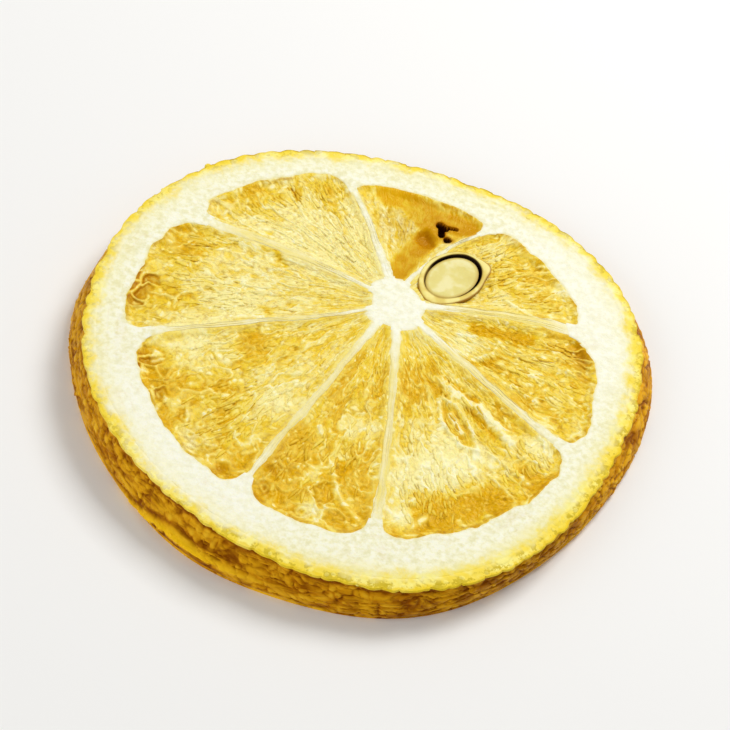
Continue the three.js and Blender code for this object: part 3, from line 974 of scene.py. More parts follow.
# The larger folds, ribbons and creases of the upper face.
folds = [
    fold([(7.4, -1.4), (10.2, -3.6)], 0.58, 0.24, 1.15, ragged=0.3),
    fold([(10.9, -3.5), (12.9, -5.0), (14.9, -7.1)], 0.5, 0.24, 1.15, ragged=0.3),
    fold([(8.3, -1.2), (11.0, -3.0)], 0.3, -0.12, -0.5, tone=0.35, ragged=0.4),
    fold([(10.3, -4.2), (12.6, -6.0), (14.2, -7.8)], 0.3, -0.12, -0.5, tone=0.35, ragged=0.4),
    fold([(8.6, -4.8), (10.9, -8.0)], 1.0, -0.24, -1.1, tone=0.6),
    fold([(8.9, -5.2), (10.2, -7.0)], 0.32, 0.18, 1.5, ragged=0.5),
    fold(
        [(7.6, -3.6), (8.2, -6.4), (10.3, -8.7), (12.0, -9.0), (11.3, -6.8), (9.3, -4.1), (7.7, -3.4)],
        0.28, 0.2, 1.1, ragged=0.4,
    ),
    fold([(6.0, 0.0), (7.6, -3.0)], 0.8, -0.06, -0.5, tone=0.45),
    fold([(8.4, -17.6), (14.2, -13.9)], 1.7, -0.05, -0.7, tone=0.8),
    fold([(13.2, -11.4), (15.8, -13.4)], 0.2, 0.14, 0.9),
    fold([(12.8, -8.8), (17.2, -11.4)], 0.22, 0.12, 0.7),
    fold([(14.0, -8.0), (18.2, -8.9)], 0.2, 0.1, 0.6),
    fold([(8.2, -18.0), (7.4, -19.3)], 0.3, 0.12, 0.9),
    fold([(9.8, 6.0), (11.6, 6.4), (15.0, 6.5)], 0.6, -0.14, -1.6, tone=1.1),
    fold([(12.4, 10.7), (15.0, 9.4)], 0.24, 0.14, 0.8),
    fold([(13.6, 9.0), (15.8, 8.0)], 0.22, 0.14, 0.8),
    fold([(11.8, 12.9), (13.8, 11.6)], 0.5, -0.08, -0.4, tone=0.4),
    fold([(7.4, 4.1), (7.9, 3.0), (9.0, 2.4), (10.6, 2.4), (11.9, 3.6), (12.3, 5.0)], 0.24, 0.18, 0.9),
    fold([(7.0, 3.4), (7.7, 2.3), (9.3, 1.6), (11.2, 1.7), (12.6, 3.2)], 0.3, -0.12, -0.8, tone=0.5),
    fold([(8.3, 4.9), (9.8, 5.2)], 0.22, 0.14, 1.0),
    fold([(12.6, 2.2), (18.4, 1.4)], 0.24, 0.14, 0.6),
    fold([(11.0, 1.2), (17.4, -1.6)], 0.24, 0.12, 0.5),
    fold([(16.0, 4.6), (20.0, 3.0)], 0.2, 0.16, 0.8),
    fold(
        [(-1.1, -13.8), (-0.7, -15.6), (-0.1, -17.2), (0.8, -18.7), (2.3, -20.0)],
        0.24, 0.12, 0.9, ragged=0.25,
    ),
    fold([(-0.2, -14.4), (0.2, -15.8)], 0.5, -0.06, -0.8, tone=0.6),
    fold([(-1.3, -16.6), (-0.8, -18.4)], 0.4, -0.06, -0.8, tone=0.6),
    fold([(-12.6, 1.2), (-9.4, 1.6)], 0.3, 0.12, 0.7),
    fold([(-11.2, 10.8), (-9.6, 9.0)], 0.4, -0.1, -0.7, tone=0.6),
    fold([(-10.6, 19.4), (-9.8, 18.2)], 0.24, -0.2, -1.6, tone=1.2, deep=0.6),
    # a wet glint painted as a small pale spot
    fold([(-13.6, -11.7), (-13.2, -11.3)], 0.3, 0.2, 1.6),
    fold([(-11.6, -18.0), (-10.7, -17.6)], 0.5, -0.1, -1.0, tone=0.8, deep=0.4),
    fold([(-6.9, -16.2), (-6.0, -16.5)], 0.4, -0.1, -0.8, tone=0.7, deep=0.3),
    fold([(-6.9, -18.0), (-6.3, -19.3)], 0.3, -0.1, -0.8, tone=0.7, deep=0.35),
    # a wet glint painted as a small pale spot
    fold([(-2.9, -10.3), (-2.6, -11.0)], 0.28, 0.2, 1.6),
]

# Larger patches that have dried darker (over 0) or paler: place, reach and strength.
patches = [
    (-10.9, -16.7, 2.8, 0.55), (-16.3, -9.5, 2.6, 0.3), (-10.0, -3.4, 2.6, 0.4), (-12.3, -8.0, 2.0, 0.3),
    (-19.8, -8.5, 2.2, 0.3), (-22.3, 2.0, 2.0, 0.4), (18.6, 7.0, 1.6, 0.5), (19.9, 5.8, 1.6, 0.5),
    (-13.8, 17.5, 2.2, 0.4), (-7.0, 19.8, 2.0, 0.4), (-4.5, -12.8, 2.6, 0.4), (-3.4, -6.0, 2.0, 0.35),
    (7.9, -12.6, 2.4, -0.7), (10.4, -10.9, 2.6, -0.7), (-8.0, 12.0, 4.0, -0.25), (-12.5, 4.0, 3.5, -0.2),
    (-19.0, 9.0, 2.5, 0.35), (3.2, -16.5, 2.0, 0.3), (16.5, 11.5, 2.2, 0.25), (4.5, -3.0, 2.0, 0.3),
    (9.4, 4.0, 1.5, -0.6), (15.2, -2.0, 1.4, 0.4), (5.4, -18.0, 1.8, -0.5), (-7.6, -6.6, 2.6, -0.4),
    (-6.0, -17.0, 2.4, 0.3), (0.5, -9.0, 2.2, -0.3), (-16.5, -3.0, 3.0, -0.3), (17.6, 13.6, 1.2, -0.8),
    (-10.4, 2.7, 0.8, 0.6), (9.6, -12.2, 1.8, -0.3), (-11.2, -17.4, 1.3, 0.4), (-6.5, -17.6, 1.4, 0.35),
    (-2.2, -20.1, 1.2, -0.7), (5.6, -15.0, 2.2, -0.55), (6.0, -18.6, 1.2, -0.6), (17.4, -6.8, 1.6, -0.5),
]

# Small bubbles that have dried to rings: place and reach.
bubbles = [
    (-13.7, -13.1, 0.36), (-13.5, -15.0, 0.4), (-14.4, -14.5, 0.34), (-5.3, -15.3, 0.46),
    (-6.7, -18.6, 0.32), (-2.9, -20.4, 0.38), (-2.0, -20.9, 0.34), (-1.4, -19.3, 0.36),
    (-15.3, -12.6, 0.34), (-12.6, -15.6, 0.32),
]

# One segment has dried to a smooth amber film along some lines.
film = {
    "segment": 1,
    "lines": [
        {"through": [(-1.0, 21.3), (0.8, 21.2), (4.4, 19.9), (7.6, 19.2)], "width": 1.4},
        {"through": [(3.6, 20.2), (4.2, 17.6), (2.3, 14.2), (1.3, 11.2)], "width": 1.35},
        {"through": [(1.2, 20.4), (3.0, 18.6)], "width": 0.9},
    ],
    "edge": (0.6, 1.25),  # where it fades, as shares of a line's width
    "depth": 0.02,  # how much higher it lies than the pulp
    "swell": 0.1,
    "tone": 0.85,
    "brown": (0.12, 0.3),  # everywhere, and more to the right
    "darkSpot": (0.9, 17.6, 2.8, 0.22),  # in the pulp beside it: place, reach and strength
}


def distanceTo(x, y, through):
    # distance to a line through some points
    away = 99.0
    for (ax, ay), (bx, by) in zip(through, through[1:]):
        along = ((x - ax) * (bx - ax) + (y - ay) * (by - ay)) / ((bx - ax) ** 2 + (by - ay) ** 2)
        share = np.clip(along, 0, 1)
        away = np.minimum(away, np.hypot(x - mix(ax, bx, share), y - mix(ay, by, share)))
    return away


sacs = {
    "fan": 15.0,  # across a segment, to a radian
    "sway": 0.8,
    "curl": 0.3,
    "fold": (2.3, 1.0),  # length and width of the papery folds
    "fineFold": (1.1, 0.52),
    "bead": (0.56, 0.44),  # of the grains between the folds
    "beadRise": 0.035,
    "end": (2.0, 0.8),  # of the sacs that press against the pith
    "endReach": (1.0, 3.2),
    "foldRise": 0.075,
    "endDepth": 0.15,
    "endRidge": 0.05,
}


def papery(along, across, size, seed):
    # thin crests along winding lines, and the sides that they lean over
    x, y = along / size[0], across / size[1]
    level = waviness(x, y, seed) + 0.5 * waviness(2 * x + 7, 2 * y, seed + 1)
    return hill(level, 0.2), hill(level + 0.4, 0.24)


def sacEnds(along, across, bent, fromEnd, apart, seed):
    # the ends that press against the pith: how much they show, how far inside one, and its number
    near = 1 - rise(*sacs["endReach"], fromEnd + 1.3 * rough(along / 3.0, across / 2.2, seed + 80))
    near = near * np.maximum(apart, 0.25 * rise(-0.1, 0.4, rough(across / 2.6, along / 9.0, seed + 81)))
    nearest, second, own = cells(fromEnd / sacs["end"][0], bent / sacs["end"][1], seed + 90, 0.6)
    return near, second - nearest, own


def sacRelief(bearing, distance, end, middle, apart, seed):
    # the dried juice sacs fan out from the core: folds in the middle, pockets at the pith
    along = distance
    across = turnBetween(bearing, middle) * degree * sacs["fan"]
    across = across + sacs["sway"] * rough(along / 4.2, across / 3.0, seed + 40)
    bent = across + sacs["curl"] * rough(along / 1.1, across / 0.8, seed + 50)
    along = along + 2.5 * sacs["curl"] * rough(along / 1.6, across / 0.9, seed + 60)
    crest, lee = papery(along, bent, sacs["fold"], seed)
    fineCrest, fineLee = papery(along, bent, sacs["fineFold"], seed + 20)
    near, within, own = sacEnds(along, across, bent, end - distance, apart, seed)
    pocket = near * rise(0.1, 0.35, within)
    ridge = near * (1 - rise(0.02, 0.16, within))
    calm = (1 - 0.75 * near) * (0.4 + 0.6 * rise(3, 12, distance))
    height = sacs["foldRise"] * calm * (crest - 0.7 * lee + 0.45 * (fineCrest - fineLee))
    inner, outer, drawn = cells(along / sacs["bead"][0], bent / sacs["bead"][1], seed + 70, 0.85)
    bead = rise(0.6, 0.15, inner)
    gap = (1 - rise(0.02, 0.22, outer - inner)) * (0.25 + 0.75 * drawn) * (0.3 + 0.7 * rise(4, 10, distance))
    height = height + sacs["endRidge"] * ridge - sacs["endDepth"] * pocket + sacs["beadRise"] * (bead - 0.4)
    # the folds' lee sides are painted more amber, a painted shade beside each pale crest
    tone = calm * (0.24 * lee + 0.12 * fineLee) + pocket * (0.05 + 0.4 * own) + 0.3 * (0.5 - drawn)
    patchy = rise(0.25, 0.7, rough(along / 2.4, across / 1.3, seed + 9) + 0.5)
    pale = np.maximum(calm * crest * (0.25 + 0.5 * patchy), 0.3 * calm * fineCrest)
    # the middles of some beads are painted pale, a painted highlight
    pale = np.maximum(np.maximum(pale, (0.35 + 0.35 * apart) * ridge), 0.8 * bead * rise(0.7, 0.9, drawn))
    # some pockets are brown, with a painted shadow along their sides next to the ridges
    sideShadow = hill(within - 0.24, 0.1)
    deep = pocket * rise(0.55, 0.95, own) * 0.4
    deep = np.maximum(deep, near * apart * rise(0.1, 0.4, own) * (0.4 * rise(0.1, 0.3, within) + 0.5 * sideShadow))
    return {
        "height": height, "tone": tone, "grainTone": tone, "pale": pale,
        "deep": deep, "gap": gap, "along": along, "across": bent,
    }


# Where the ends of the sacs stand apart as pockets: place and reach.
pockets = [(-20.2, -7.6, 1.8), (-19.2, -9.8, 1.9), (-22.3, 1.8, 3.2), (19.6, 5.0, 2.2)]

cut = {
    "depth": {1: 0.34, -1: 0.35},  # of the pulp below the walls, above and below the slice
    "shoulder": 0.85,
    "tuck": 0.16,
    "tuckedDepth": 0.07,
    "within": {1: 0.02, -1: 0.03},  # how far it stays inside the cuts at least
    "swell": 0.13,
    "blotch": 0.34,  # how uneven the tone is
    "amberEnd": 0.15,  # how much more amber the outer half is
    "paleEdge": 0.32,  # along the walls
    # painted shade where the pulp meets the pith and beside the walls
    "endShade": 0.4,  # where the pulp meets the pith
    "sideShade": 0.25,
}


def pulpNet(n, columns, rings, widening):
    # the places on a segment's cut face seen from the core, and how far they are from a wall
    share = np.linspace(0, 1, columns)[None, :]
    step = np.linspace(0, 1, rings)[:, None]
    tip, radius = outlineAt(n, share[0])
    first, last = windowAt(n, np.array([lemon["rimRadius"]]))
    end = endAt(mix(first, last, share[0]), radius, widening)
    distance = mix(tip - cut["tuck"], end + cut["tuck"], step)
    first, last = windowAt(n, distance, cut["tuck"])
    middle = (walls[n]["ringEnd"] + (last - first)[-1, 0] / 2) % 360
    fromSide = np.minimum(share, 1 - share) * (last - first) * degree * distance - cut["tuck"]
    return mix(first, last, share), distance, middle, tip, end, fromSide


def pulpFace(n, columns, rings, widening, side):
    # one cut face of a segment's pulp; side is 1 above and -1 below
    bearing, distance, middle, tip, end, fromSide = pulpNet(n, columns, rings, widening)
    x, y = pointAt(bearing, distance)
    fromEnd = np.minimum(distance - tip, end - distance)
    inside = ease(np.minimum(fromSide, fromEnd) / cut["shoulder"])
    seed = 100 * n + (7 if side > 0 else 57)
    apart = sum(hill(np.hypot(x - px, y - py), reach) for px, py, reach in pockets)
    sac = sacRelief(bearing, distance, end, middle, np.clip(1.5 * apart, 0, 1), seed)
    blotch = rough(sac["along"] / 5.5 + 9, sac["across"] / 2.6, seed + 6)
    blotch = blotch + 0.5 * rough(sac["along"] / 2.0, sac["across"] / 1.1, seed + 8)
    outward = rise(0.5, 1.0, (distance - tip) / (end - tip))
    sac["tone"] = segments[n]["tone"] + cut["blotch"] * blotch + sac["tone"] + cut["amberEnd"] * outward
    drawEdges(x, y, fromSide, distance - tip, end - distance, sac, seed)
    sac["height"] = sac["height"] + cut["swell"] * uneven(x, y, 3.6, seed + 14)
    if side > 0:
        drawPatches(x, y, sac)
        drawFolds(x, y, sac)
        drawBubbles(x, y, sac)
    sac["level"] = -mix(cut["tuckedDepth"], cut["depth"][side], inside) + sac["height"] * inside
    if side > 0 and n == film["segment"]:
        drawFilm(x, y, inside, sac)
    within = cut["within"][side]
    if side > 0:
        z = np.minimum(upperCut(x, y) + upperWave(x, y) + sac["level"], upperCut(x, y) - within)
        z = dented(x, y, pressed(x, y, z), sac)
    else:
        z = np.maximum(-sac["level"], within)
    fields = {key: np.clip(sac[key], 0, 1) for key in ("tone", "pale", "deep")}
    fields["gap"] = sac["gap"]
    fields["flow"] = np.stack([sac["along"], sac["across"], np.full_like(x, 3.0 * n)], axis=-1)
    return np.stack([x, y, z], axis=-1), fields


def drawEdges(x, y, fromSide, fromTip, fromEnd, sac, seed):
    # the pulp is paler along the walls, and has painted shade in places where it meets them or the pith
    edge = 1 - ease(np.minimum(fromSide, fromTip) / (0.5 + 0.25 * uneven(x, y, 1.5, seed + 11)))
    endShadeLine = hill(fromEnd - 0.1, 0.16) * rise(0.0, 0.5, uneven(x, y, 2.0, seed + 12) + 0.2)
    shade = hill(fromSide - 0.15, 0.12) * rise(0.1, 0.6, uneven(x, y, 2.5, seed + 13) + 0.2)
    sac["pale"] = np.maximum(sac["pale"], cut["paleEdge"] * edge)
    sac["deep"] = np.maximum(sac["deep"], cut["endShade"] * endShadeLine + cut["sideShade"] * shade)


def drawPatches(x, y, sac):
    paleness = 0.6 + 0.8 * sac["grainTone"]
    for px, py, reach, strength in patches:
        dried = strength * hill(np.hypot(x - px, y - py), reach)
        sac["tone"] = sac["tone"] + dried
        sac["pale"] = sac["pale"] + 0.8 * np.maximum(-dried, 0) * paleness


def drawFolds(x, y, sac):
    broken, sideways = uneven(x, y, 1.3, 35), 0.45 * uneven(x, y, 1.1, 31)
    fibrous = rough(sac["along"] / 0.9, sac["across"] / 0.35, 36)
    for line in folds:
        ragged, width = line["ragged"], line["width"]
        away = distanceTo(x, y, line["through"]) + ragged * width * sideways
        ridge = hill(away, width)
        streaky = 0.8 + ragged * (0.8 * broken + 0.7 * fibrous)
        sac["height"] = sac["height"] + line["height"] * ridge
        sac["pale"] = np.clip(sac["pale"] + line["pale"] * ridge * streaky, 0, 1)
        sac["tone"] = sac["tone"] + line["tone"] * ridge
        sac["deep"] = np.maximum(sac["deep"], line["deep"] * ridge)


def drawBubbles(x, y, sac):
    # a pale raised ring round a dip, with painted shade outside it
    for px, py, reach in bubbles:
        away = np.hypot(x - px, y - py) * (1 + 0.4 * uneven(x, y, 0.6, 37))
        ring, middle = hill(away - reach, 0.14), hill(away, 0.6 * reach)
        sac["height"] = sac["height"] + 0.07 * ring - 0.06 * middle
        sac["tone"] = sac["tone"] + 0.3 * middle
        sac["pale"] = np.maximum(sac["pale"] * (1 - middle), 0.5 * ring)
        sac["deep"] = np.maximum(sac["deep"], 0.28 * hill(away - reach - 0.26, 0.13))


def drawFilm(x, y, inside, sac):
    # smooth amber film, a little uneven, beside pulp that has stayed pale
    share = 0 * x
    for line in film["lines"]:
        away = distanceTo(x, y, line["through"]) + 0.2 * uneven(x, y, 1.6, 33)
        share = np.maximum(share, 1 - rise(*film["edge"], away / line["width"]))
    mottle = rough(x / 1.5, y / 1.1, 34)
    depth = cut["depth"][1] - film["depth"] - film["swell"] * mottle
    brown, more = film["brown"]
    spotX, spotY, reach, strength = film["darkSpot"]
    spot = strength * hill(np.hypot(x - spotX, y - spotY), reach)
    tone = film["tone"] + 0.5 * mottle + 0.4 * (sac["tone"] - segments[film["segment"]]["tone"])
    brown = brown + more * rise(-1, 3, x) * (1 + 0.4 * mottle)
    sac["level"] = mix(sac["level"], -mix(cut["tuckedDepth"], depth, inside), share)
    sac["tone"] = mix(sac["tone"], tone, share)
    sac["deep"] = mix(np.maximum(sac["deep"], spot), brown, share)
    sac["pale"] = sac["pale"] * (1 - 0.9 * share)
    sac["gap"] = mix(sac["gap"], -1, share)


def dented(x, y, z, sac):
    # the dry hollow with its brown floor, and the torn holes beside it with shade painted into them
    share = ovalShare(x, y, hollow) + 0.34 * uneven(x, y, 1.1, 41)
    z = z - hollow["depth"] * (1 - rise(0.3, 1.15, share))
    inside = 1 - rise(0.6, 1.3, share)
    stained = hollow["stain"] * inside * (1 + 0.2 * uneven(x, y, 0.7, 43))
    away = 9.0
    for hole in tear["holes"]:
        away = np.minimum(away, distanceTo(x, y, hole["through"]) / hole["width"])
    away = away + 0.14 * uneven(x, y, 0.7, 42)
    halo, dark = tear["halo"] * (1 - rise(0.9, 2.3, away)), tear["dark"] * (1 - rise(0.7, 1.5, away))
    sac["tone"] = mix(sac["tone"], 1.0, inside)
    sac["deep"] = np.maximum(np.maximum(sac["deep"], stained), np.maximum(halo, dark))
    sac["pale"] = sac["pale"] * (1 - inside) * rise(1.2, 2.2, away)
    return z - tear["depth"] * (1 - rise(0.55, 1.05, away))


def pulpGrid(n, step):
    # columns and rings of about that step
    gap = gapAfter(n)
    reach = float(reachOf(walls[n]["ringEnd"] + gap / 2, segments[n]["radius"]))
    arc, depth = reach * gap * degree, reach - segments[n]["tip"]
    step = max(step, math.sqrt(arc * depth / pulpLook["mostPoints"]))
    return int(arc / step), int(depth / step)


def makePulp(n, material):
    columns, rings = pulpGrid(n, pulpLook["grid"])
    upper, upperFields = pulpFace(n, columns, rings, 0, 1)
    lower, lowerFields = pulpFace(n, columns, rings, net["lowerWidening"], -1)
    ids = np.arange(columns * rings).reshape(rings, columns)
    loop = np.concatenate([ids[0, :], ids[1:, -1], ids[-1, -2::-1], ids[-2:0:-1, 0]])
    faceSets = [gridFaces(ids), gridFaces(ids + ids.size, flip=True)]
    faceSets.append(gridFaces(np.stack([loop, loop + ids.size]), True, True))
    points = np.concatenate([upper, lower]).reshape(-1, 3)
    attributes = joined([flat(upperFields), flat(lowerFields)])
    return makePiece(f"pulp_{n + 1}", points, faceSets, attributes, material, 75)


# Peel: a closed ring with the yellow rim above, the wrinkled wall and the lower edge

peelShape = {
    "columns": 1400,
    "topRows": 13,
    "lipRows": 4,
    "wallRows": 40,
    "lowRows": 7,
    "reachIn": 1.7,
    "bevel": 0.12,
    "lift": 0.012,  # of the rim above the cut
    "drop": 0.22,
    "groove": (0.25, 0.2, 0.12),  # depth, place and spread
    "foot": (0.8, 0.3),  # where it starts and how far it is worn
    "scallops": (104, 0.26),  # how many round the rim, and how deep
    "nicks": (420, 0.03),
    "beads": 330,
    "spare": 0.17,  # so that the scallops lie about the rim
    "sunk": 0.06,  # of the rim, for the glands that stand on it
    "wrinkle": (2.0, 0.44),  # size along and up the wall
    "fineWrinkle": (0.85, 0.24),
    "bulge": (2.8, 2.2),
    "stain": (1.4, 0.8),  # the same of browner stretches
    "sway": [(0.3, (2.4, 1.3)), (0.12, (1.0, 0.7))],  # of the wrinkles: reach and size
    "veins": (190, 0.62),  # how many round the wall, and how high
    "relief": {"crease": 0.18, "vein": 0.07, "dome": 0.06, "bulge": 0.06},
    "lowEdge": (0.02, 0.1),  # height of the edge under the slice, and its rise inward
    "sideShade": (-66, 24, 0.35),  # bearing, spread and strength of a stretch with painted shade
    "brightSide": (-120, 12, 0.62, 0.07),  # bearing and height of a fold painted bright as a highlight, with their spreads
    "brightDip": (0.26, 13),  # how far it runs down, and over how many degrees
}


def loopedWaves(turn, height, size, seed):
    # waviness that meets itself after one turn of the rim
    around = round(2 * math.pi * lemon["rimRadius"] / size[0])
    return waviness(turn * around, height / size[1], seed, around)


def onCircle(bearing, radius):
    return radius * np.cos(bearing * degree), radius * np.sin(bearing * degree)


def peelRows(bearing, radius, z, **fields):
    # rows round the slice as one block: where they lie and what their paint needs
    needed = (fields.get(name, 0.0) for name in peelFields)
    return np.stack(np.broadcast_arrays(radius, z, bearing, *needed))


def scallops(turn):
    # the distance from a scallop's middle, and how far the rim steps back there
    shape = peelShape
    count, deep = shape["scallops"]
    nicks, nickDepth = shape["nicks"]
    nearest, _, own = cells(turn * count, np.full_like(turn, 0.5), 61, 0.9, count)
    step = deep * (0.3 + own) * rise(0.1, 0.65, nearest)
    return nearest, step + nickDepth * (1 + waviness(turn * nicks, 0 * turn, 62, nicks))


def rimRows(turn):
    # the yellow rim over the pith's edge, and the lip where it turns down
    shape, bearing = peelShape, turn * 360
    nearest, scallop = scallops(turn)
    rim = upperRim(bearing) + shape["spare"]
    inset = np.linspace(shape["reachIn"], shape["bevel"], shape["topRows"])[:, None]
    radius = rim - inset - scallop * (1 - inset / shape["reachIn"])
    x, y = onCircle(bearing, radius)
    beads = waviness(turn * shape["beads"], inset / 0.5, 63, shape["beads"])
    lift = shape["lift"] - 0.1 * rise(1.2, shape["reachIn"], inset)
    lift = lift - 0.04 * hill(inset, 0.5) * rise(0.1, 0.6, nearest)
    lift = lift + 0.03 * (uneven(x, y, 0.6, 63) - 0.6) + 0.02 * (beads - 1) * hill(inset, 0.8)
    lift = lift - shape["sunk"] * rise(1.2, 0.6, inset)
    top = peelRows(bearing, radius, upperCut(x, y) + upperWave(x, y) + lift, inset=inset)
    angle = np.linspace(0, 90, shape["lipRows"] + 1)[1:, None] * degree
    radius = rim - shape["bevel"] * (1 - np.sin(angle)) - scallop
    level = upperCut(*onCircle(bearing, radius)) + shape["lift"] - shape["sunk"]
    return [top, peelRows(bearing, radius, level - shape["drop"] * (1 - np.cos(angle)))]


def wrinkled(turn, z):
    # the dry skin's creases, veins, domes and broad bulges, and how far from a crease it is
    shape, bent = peelShape, z
    for seed, (reach, size) in enumerate(shape["sway"], 64):
        bent = bent + reach * loopedWaves(turn, z, size, seed)
    waves = loopedWaves(turn, bent, shape["wrinkle"], 66)
    waves = abs(waves + 0.5 * loopedWaves(turn, bent, shape["fineWrinkle"], 67))
    count, tall = shape["veins"]
    nearest, second, own = cells(turn * count + 0.5 * bent, bent / tall, 68, 0.95, count)
    vein = (1 - rise(0.0, 0.3, second - nearest)) * rise(0.3, 0.9, own)
    dome = rise(0.5, 0.1, nearest) * rise(0.4, 0.9, own)
    return 1 - rise(0, 0.28, waves), vein, dome, loopedWaves(turn, z, shape["bulge"], 69), waves


def skinShadeAndBrown(turn, z, share, crease, vein, dome, bulge, waves):
    # how brown and shaded the wall is: browner in stretches, painted shade in its creases and veins, under
    # the lip and on one side, and painted highlight below 0 on its domes and away from its creases
    pit = 0.85 * crease * (0.6 + 0.4 * bulge) + 0.45 * vein - 0.5 * dome
    pit = pit + 0.3 * loopedWaves(turn, z, peelShape["stain"], 72) - 0.3 * rise(0.35, 0.9, waves)
    at, around, strength = peelShape["sideShade"]
    pit = pit + strength * hill(turnBetween(turn * 360, at), around) * (0.6 + 0.5 * bulge)
    shadeUnderLip = hill(share - 0.1, 0.07) * (0.7 + 0.3 * waviness(turn * 60, 0 * turn, 70, 60))
    return pit + 0.95 * shadeUnderLip


def wallRows(turn):
    # the wrinkled wall, which flares to the foot and turns in below it
    shape, bearing = peelShape, turn * 360
    _, scallop = scallops(turn)
    rim = upperRim(bearing)
    share = np.linspace(0, 1, shape["wallRows"] + 1)[1:, None]
    z = mix(upperCut(*onCircle(bearing, rim)) - shape["sunk"] - shape["drop"], 0, share)
    crease, vein, dome, bulge, waves = wrinkled(turn, z)
    depth, place, spread = shape["groove"]
    footStart, worn = shape["foot"]
    radius = rim + flareAt(bearing) * ease(share / footStart) - depth * hill(share - place, spread)
    radius = radius - worn * ease((share - footStart) / (1 - footStart))
    relief = shape["relief"]
    inward = relief["crease"] * crease + relief["vein"] * vein
    inward = inward + relief["dome"] * (1 - dome) + relief["bulge"] * (1 - bulge)
    radius = radius - inward * rise(0, 0.08, share) * (1 - rise(0.94, 1.0, share))
    radius = radius + (shape["spare"] - scallop) * (1 - rise(0, 0.22, share))
    pit = skinShadeAndBrown(turn, z, share, crease, vein, dome, bulge, waves)
    at, around, height, tall = shape["brightSide"]
    dip, reach = shape["brightDip"]
    fromFold = turnBetween(bearing, at)
    line = share - height - dip * rise(0, -reach, fromFold)
    ledge = hill(fromFold, 1.3 * around)
    radius = radius + 0.4 * ledge * hill(line, tall)
    # painted shade in lines above and below the fold, a painted highlight on it, and painted glints along the
    # lower edge
    pit = pit + 0.8 * ledge * (hill(line + 0.16, 0.05) + hill(line - 0.2, 0.09))
    bright = 1.6 * hill(fromFold, around) * hill(line, tall) * (1 - 0.35 * crease)
    glints = rise(-0.2, 0.5, waviness(turn * 40, 0 * turn, 71, 40))
    bright = bright + 0.5 * hill(share - 0.97, 0.05) * glints
    return [peelRows(bearing, radius, z, down=share, pit=np.clip(pit - bright, -1, 1), bright=bright)]


def hiddenRows(turn):
    # the edge under the slice and the ring's inner side
    shape, bearing = peelShape, turn * 360
    rim, inner = upperRim(bearing), shape["reachIn"]
    inset = np.linspace(0.1, inner, shape["lowRows"])[:, None]
    foot = rim + flareAt(bearing) - shape["foot"][1]
    low, lift = shape["lowEdge"]
    under = peelRows(bearing, foot - inset, low + lift * rise(1.2, inner, inset), inset=inset)
    height = upperCut(*onCircle(bearing, rim)) * np.array([[0.3], [0.7]])
    return [under, peelRows(bearing, rim - inner - 0.02, height, inset=inner)]


def makePeel(material):
    turn = (np.arange(peelShape["columns"]) / peelShape["columns"])[None, :]
    rows = np.concatenate([*rimRows(turn), *wallRows(turn), *hiddenRows(turn)], axis=1)
    radius, z, bearing, *fields = rows
    ids = np.arange(radius.size).reshape(radius.shape)
    ids = np.concatenate([ids, ids[:1]])
    points = np.stack([*onCircle(bearing, radius), z], axis=-1).reshape(-1, 3)
    attributes = flat(dict(zip(peelFields, fields)))
    return makePiece("peel", points, [gridFaces(ids, True)], attributes, material, 60)


# Grown pieces: swollen sacs on the pulp, oil glands on the peel and fibres along the walls

def scatterSizes(look, *names):
    # the inputs of a tree that scatters pieces: each named size has a least and a most
    sizes = {"Spacing": look["spacing"] * mm, "Density": look["density"] / mm**2, "Seed": look["seed"]}
    for name in names:
        least, most = look[name]
        sizes.update({f"Least {name}": least * mm, f"Most {name}": most * mm})
    return sizes


sacGrowth = {
    "grid": 0.35,
    "spacing": 0.5,
    "density": 4.0,  # to a square millimetre, before they are thinned
    "length": (0.8, 2.1),
    "width": (0.24, 0.5),
    "thickness": (0.1, 0.22),
    "swing": 20,
    "taper": 0.75,
    "clear": 1.6,  # kept free round the kernel
    "seed": 11,
}


def sacRoom(x, y):
    # how many sacs a place gets: most of them outward, in patches, and none at an edge or the pip
    rings, columns = x.shape
    outward = np.linspace(0, 1, rings)[:, None]
    across = np.linspace(0, 1, columns)[None, :]
    room = (0.25 + 0.75 * rise(0.35, 0.8, outward)) * rise(-0.3, 0.5, uneven(x, y, 3.2, 91))
    room = room * (1 - rise(0.85, 0.95, outward)) * rise(0.1, 0.2, outward)
    room = room * rise(0.02, 0.12, np.minimum(across, 1 - across))
    return room * (ovalShare(x, y, pip, sacGrowth["clear"]) > 1)


def sacCarrier():
    # the segments' upper faces on a wider grid, for the sacs to stand on
    parts, faceSets, start = [], [], 0
    for n in range(len(segments)):
        columns, rings = pulpGrid(n, sacGrowth["grid"])
        places, own = pulpFace(n, columns, rings, 0, 1)
        x, y = places[..., 0], places[..., 1]
        aside, ahead = x - lemon["core"][0], y - lemon["core"][1]
        reach = np.hypot(aside, ahead)
        own["ahead"] = np.stack([aside / reach, ahead / reach, 0 * reach], axis=-1)
        own["room"] = sacRoom(x, y) * (n != film["segment"])
        own["place"] = places
        parts.append(flat(own))
        faceSets.append(gridFaces(start + np.arange(columns * rings).reshape(rings, columns)))
        start += columns * rings
    fields = joined(parts)
    return addMesh("juice_sacs", fields.pop("place"), faceSets, fields)


